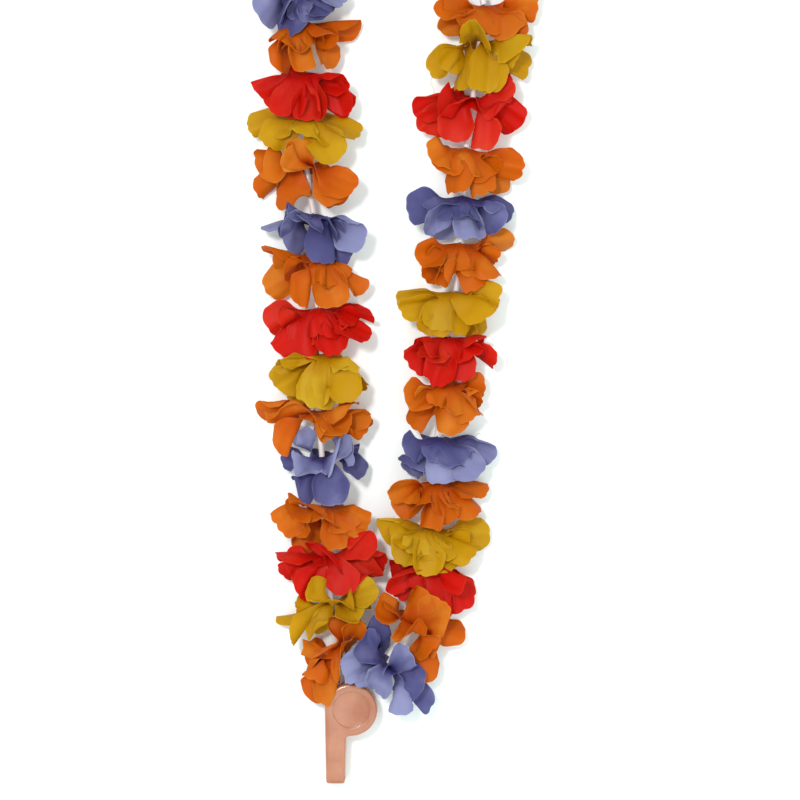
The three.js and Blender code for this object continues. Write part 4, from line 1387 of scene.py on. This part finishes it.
def addLug(body):
    middle, thick = whistle["thickness"] / 2, whistle["lugThickness"]
    low, high = middle - thick / 2, middle + thick / 2
    radius, reach, hole, flare = (whistle[name] for name in ("lugRadius", "lugReach", "lugHole", "lugFlare"))
    neck, root = radius * whistle["neckShare"], whistle["radius"] - whistle["neckRoot"]
    slight, sides = 0.1, 40
    combine(body, roundPlate(radius, (0, reach), low, high, whistle["lugEdge"], "lug"), "UNION")
    combine(body, box(-neck, neck, root, reach, low + slight, high - slight, "neck"), "UNION")
    narrow, wide = circle((0, reach), hole, sides), circle((0, reach), hole + flare, sides)
    combine(body, ringsToMesh([atHeight(wide, low - slight), atHeight(narrow, low + flare),
                               atHeight(narrow, high - flare), atHeight(wide, high + slight)], "lug hole"),
            "DIFFERENCE")


# The chamber, the airway from the mouthpiece's end and the window between them.
def hollowOut(body):
    radius, thick, wall = whistle["radius"], whistle["thickness"], whistle["wall"]
    past, airwayInset = whistle["past"], whistle["airwayInset"]
    combine(body, roundPlate(radius - wall, (0, 0), wall, thick - wall, whistle["chamberEdge"], "chamber"),
            "DIFFERENCE")
    low, high = wall + airwayInset, thick - wall - airwayInset
    left, right = -radius + wall, -radius + wall + whistle["airwayWidth"]
    top, bottom = -whistle["windowFrom"], -whistle["windowTo"]
    combine(body, box(left, right, -whistle["reach"] - past, top, low, high, "airway"), "DIFFERENCE")
    # The window: square at the airway's end, sloped to a thin lip on the chamber's side.
    slot = np.array([[-radius - past, bottom], [right, bottom], [right, top], [left, top],
                     [-radius - past, top + whistle["windowSlope"]]])
    combine(body, ringsToMesh([atHeight(slot, low), atHeight(slot, high)], "window"), "DIFFERENCE")


def makeWhistle():
    body = whistleBody()
    addLug(body)
    hollowOut(body)
    thick, depth, past = whistle["thickness"], whistle["dishDepth"], whistle["past"]
    for low, high in ((thick - depth, thick + past), (-past, depth)):
        combine(body, roundPlate(whistle["dishRadius"], (0, 0), low, high, whistle["dishEdge"], "dish"),
                "DIFFERENCE")
    soften = body.modifiers.new("soft edges", "BEVEL")
    soften.width = whistle["soften"] * mm
    soften.segments = 2
    soften.limit_method = "ANGLE"
    soften.angle_limit = math.radians(whistle["softenFrom"])
    applyModifiers(body)
    body.data.materials.append(materials["whistle"])
    body.data.shade_smooth()
    body.data.set_sharp_from_angle(angle=math.radians(whistle["sharpFrom"]))
    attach(body, "root")
    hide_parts("whistle_body")
    return body


# A ball as rings round its upright axis, with the line that its mould leaves.
def makePea():
    radius, steps, sides = whistle["pea"], 28, 48
    x, y = chamber + np.array(whistle["peaPlace"])
    z = whistle["wall"] + radius + whistle["peaGap"]
    points = []
    for k in range(1, steps):
        turn = math.pi * k / steps - math.pi / 2
        flash = whistle["peaFlash"] * math.exp(-(turn / whistle["peaFlashWidth"]) ** 2)
        size = radius * (1 + flash) - whistle["peaLess"]
        for j in range(sides):
            around = 2 * math.pi * j / sides
            points.append((x + size * math.cos(turn) * math.cos(around),
                           y + size * math.cos(turn) * math.sin(around), z + size * math.sin(turn)))
    faces = ringFaces(steps - 1, sides) + ringLids(steps - 1, sides)
    makePiece("pea", points, faces, "pea_plastic", materials["pea"], "whistle_pea")


makeWhistle()
makePea()
print("whistle and pea made")


# The camera looks straight down, and its scale is the photograph's.
photo = {
    "pixels": 800,
    "sharpHeight": 18.0,  # mm over the floor, where the photograph's scale holds
    "distance": 1.5,
    "sensor": 36.0,
}
photoMiddle = photoPoint((photo["pixels"] / 2, photo["pixels"] / 2)) * mm
cameraData = bpy.data.cameras.new("camera")
camera = bpy.data.objects.new("camera", cameraData)
bpy.context.scene.collection.objects.link(camera)
camera.location = (photoMiddle[0], photoMiddle[1], photo["sharpHeight"] * mm + photo["distance"])
cameraData.sensor_width = photo["sensor"]
cameraData.lens = photo["sensor"] * photo["distance"] / (photo["pixels"] * layout["mmPerPixel"] * mm)
bpy.context.scene.camera = camera

room = {
    "floorReach": 4,      # metres to each side
    "floorDrop": 0.0002,  # under the lowest point of the lei
    "floorColour": (0.94, 0.94, 0.94, 1),
    "worldColour": (0.85, 1, 0.97, 1),
    "worldStrength": 1.15,
}
floorMaterial, floorStart = newMaterial("floor_paper")
closeMaterial(floorStart, floorStart.node("ShaderNodeBsdfPrincipled", {}, {
    "Base Color": room["floorColour"], "Roughness": 0.9, "Specular IOR Level": 0.1}))
floorMesh = bpy.data.meshes.new("floor")
size = room["floorReach"]
floorCorners = [(-size, -size, 0), (size, -size, 0), (size, size, 0), (-size, size, 0)]
floorMesh.from_pydata(floorCorners, [], [(0, 1, 2, 3)])
floorMesh.materials.append(floorMaterial)
floor = bpy.data.objects.new("floor", floorMesh)
floor.location.z = -room["floorDrop"]
bpy.context.scene.collection.objects.link(floor)

lights = {
    "key": {"place": (-0.36, 0.28, 1.6), "size": 0.2, "power": 14},
    "fill": {"place": (0.7, -0.5, 1.5), "size": 1.6, "power": 7},
}
for name, light in lights.items():
    data = bpy.data.lights.new(name, "AREA")
    data.size = light["size"]
    data.energy = light["power"]
    lamp = bpy.data.objects.new(name, data)
    lamp.location = light["place"]
    toward = Vector((photoMiddle[0], photoMiddle[1], 0)) - Vector(light["place"])
    lamp.rotation_euler = toward.to_track_quat("-Z", "Y").to_euler()
    bpy.context.scene.collection.objects.link(lamp)
world = bpy.data.worlds.new("studio")
world.use_nodes = True
world.node_tree.nodes["Background"].inputs["Color"].default_value = room["worldColour"]
world.node_tree.nodes["Background"].inputs["Strength"].default_value = room["worldStrength"]
bpy.context.scene.world = world
bpy.context.scene.view_settings.view_transform = "Standard"
print("camera, floor and lights placed")
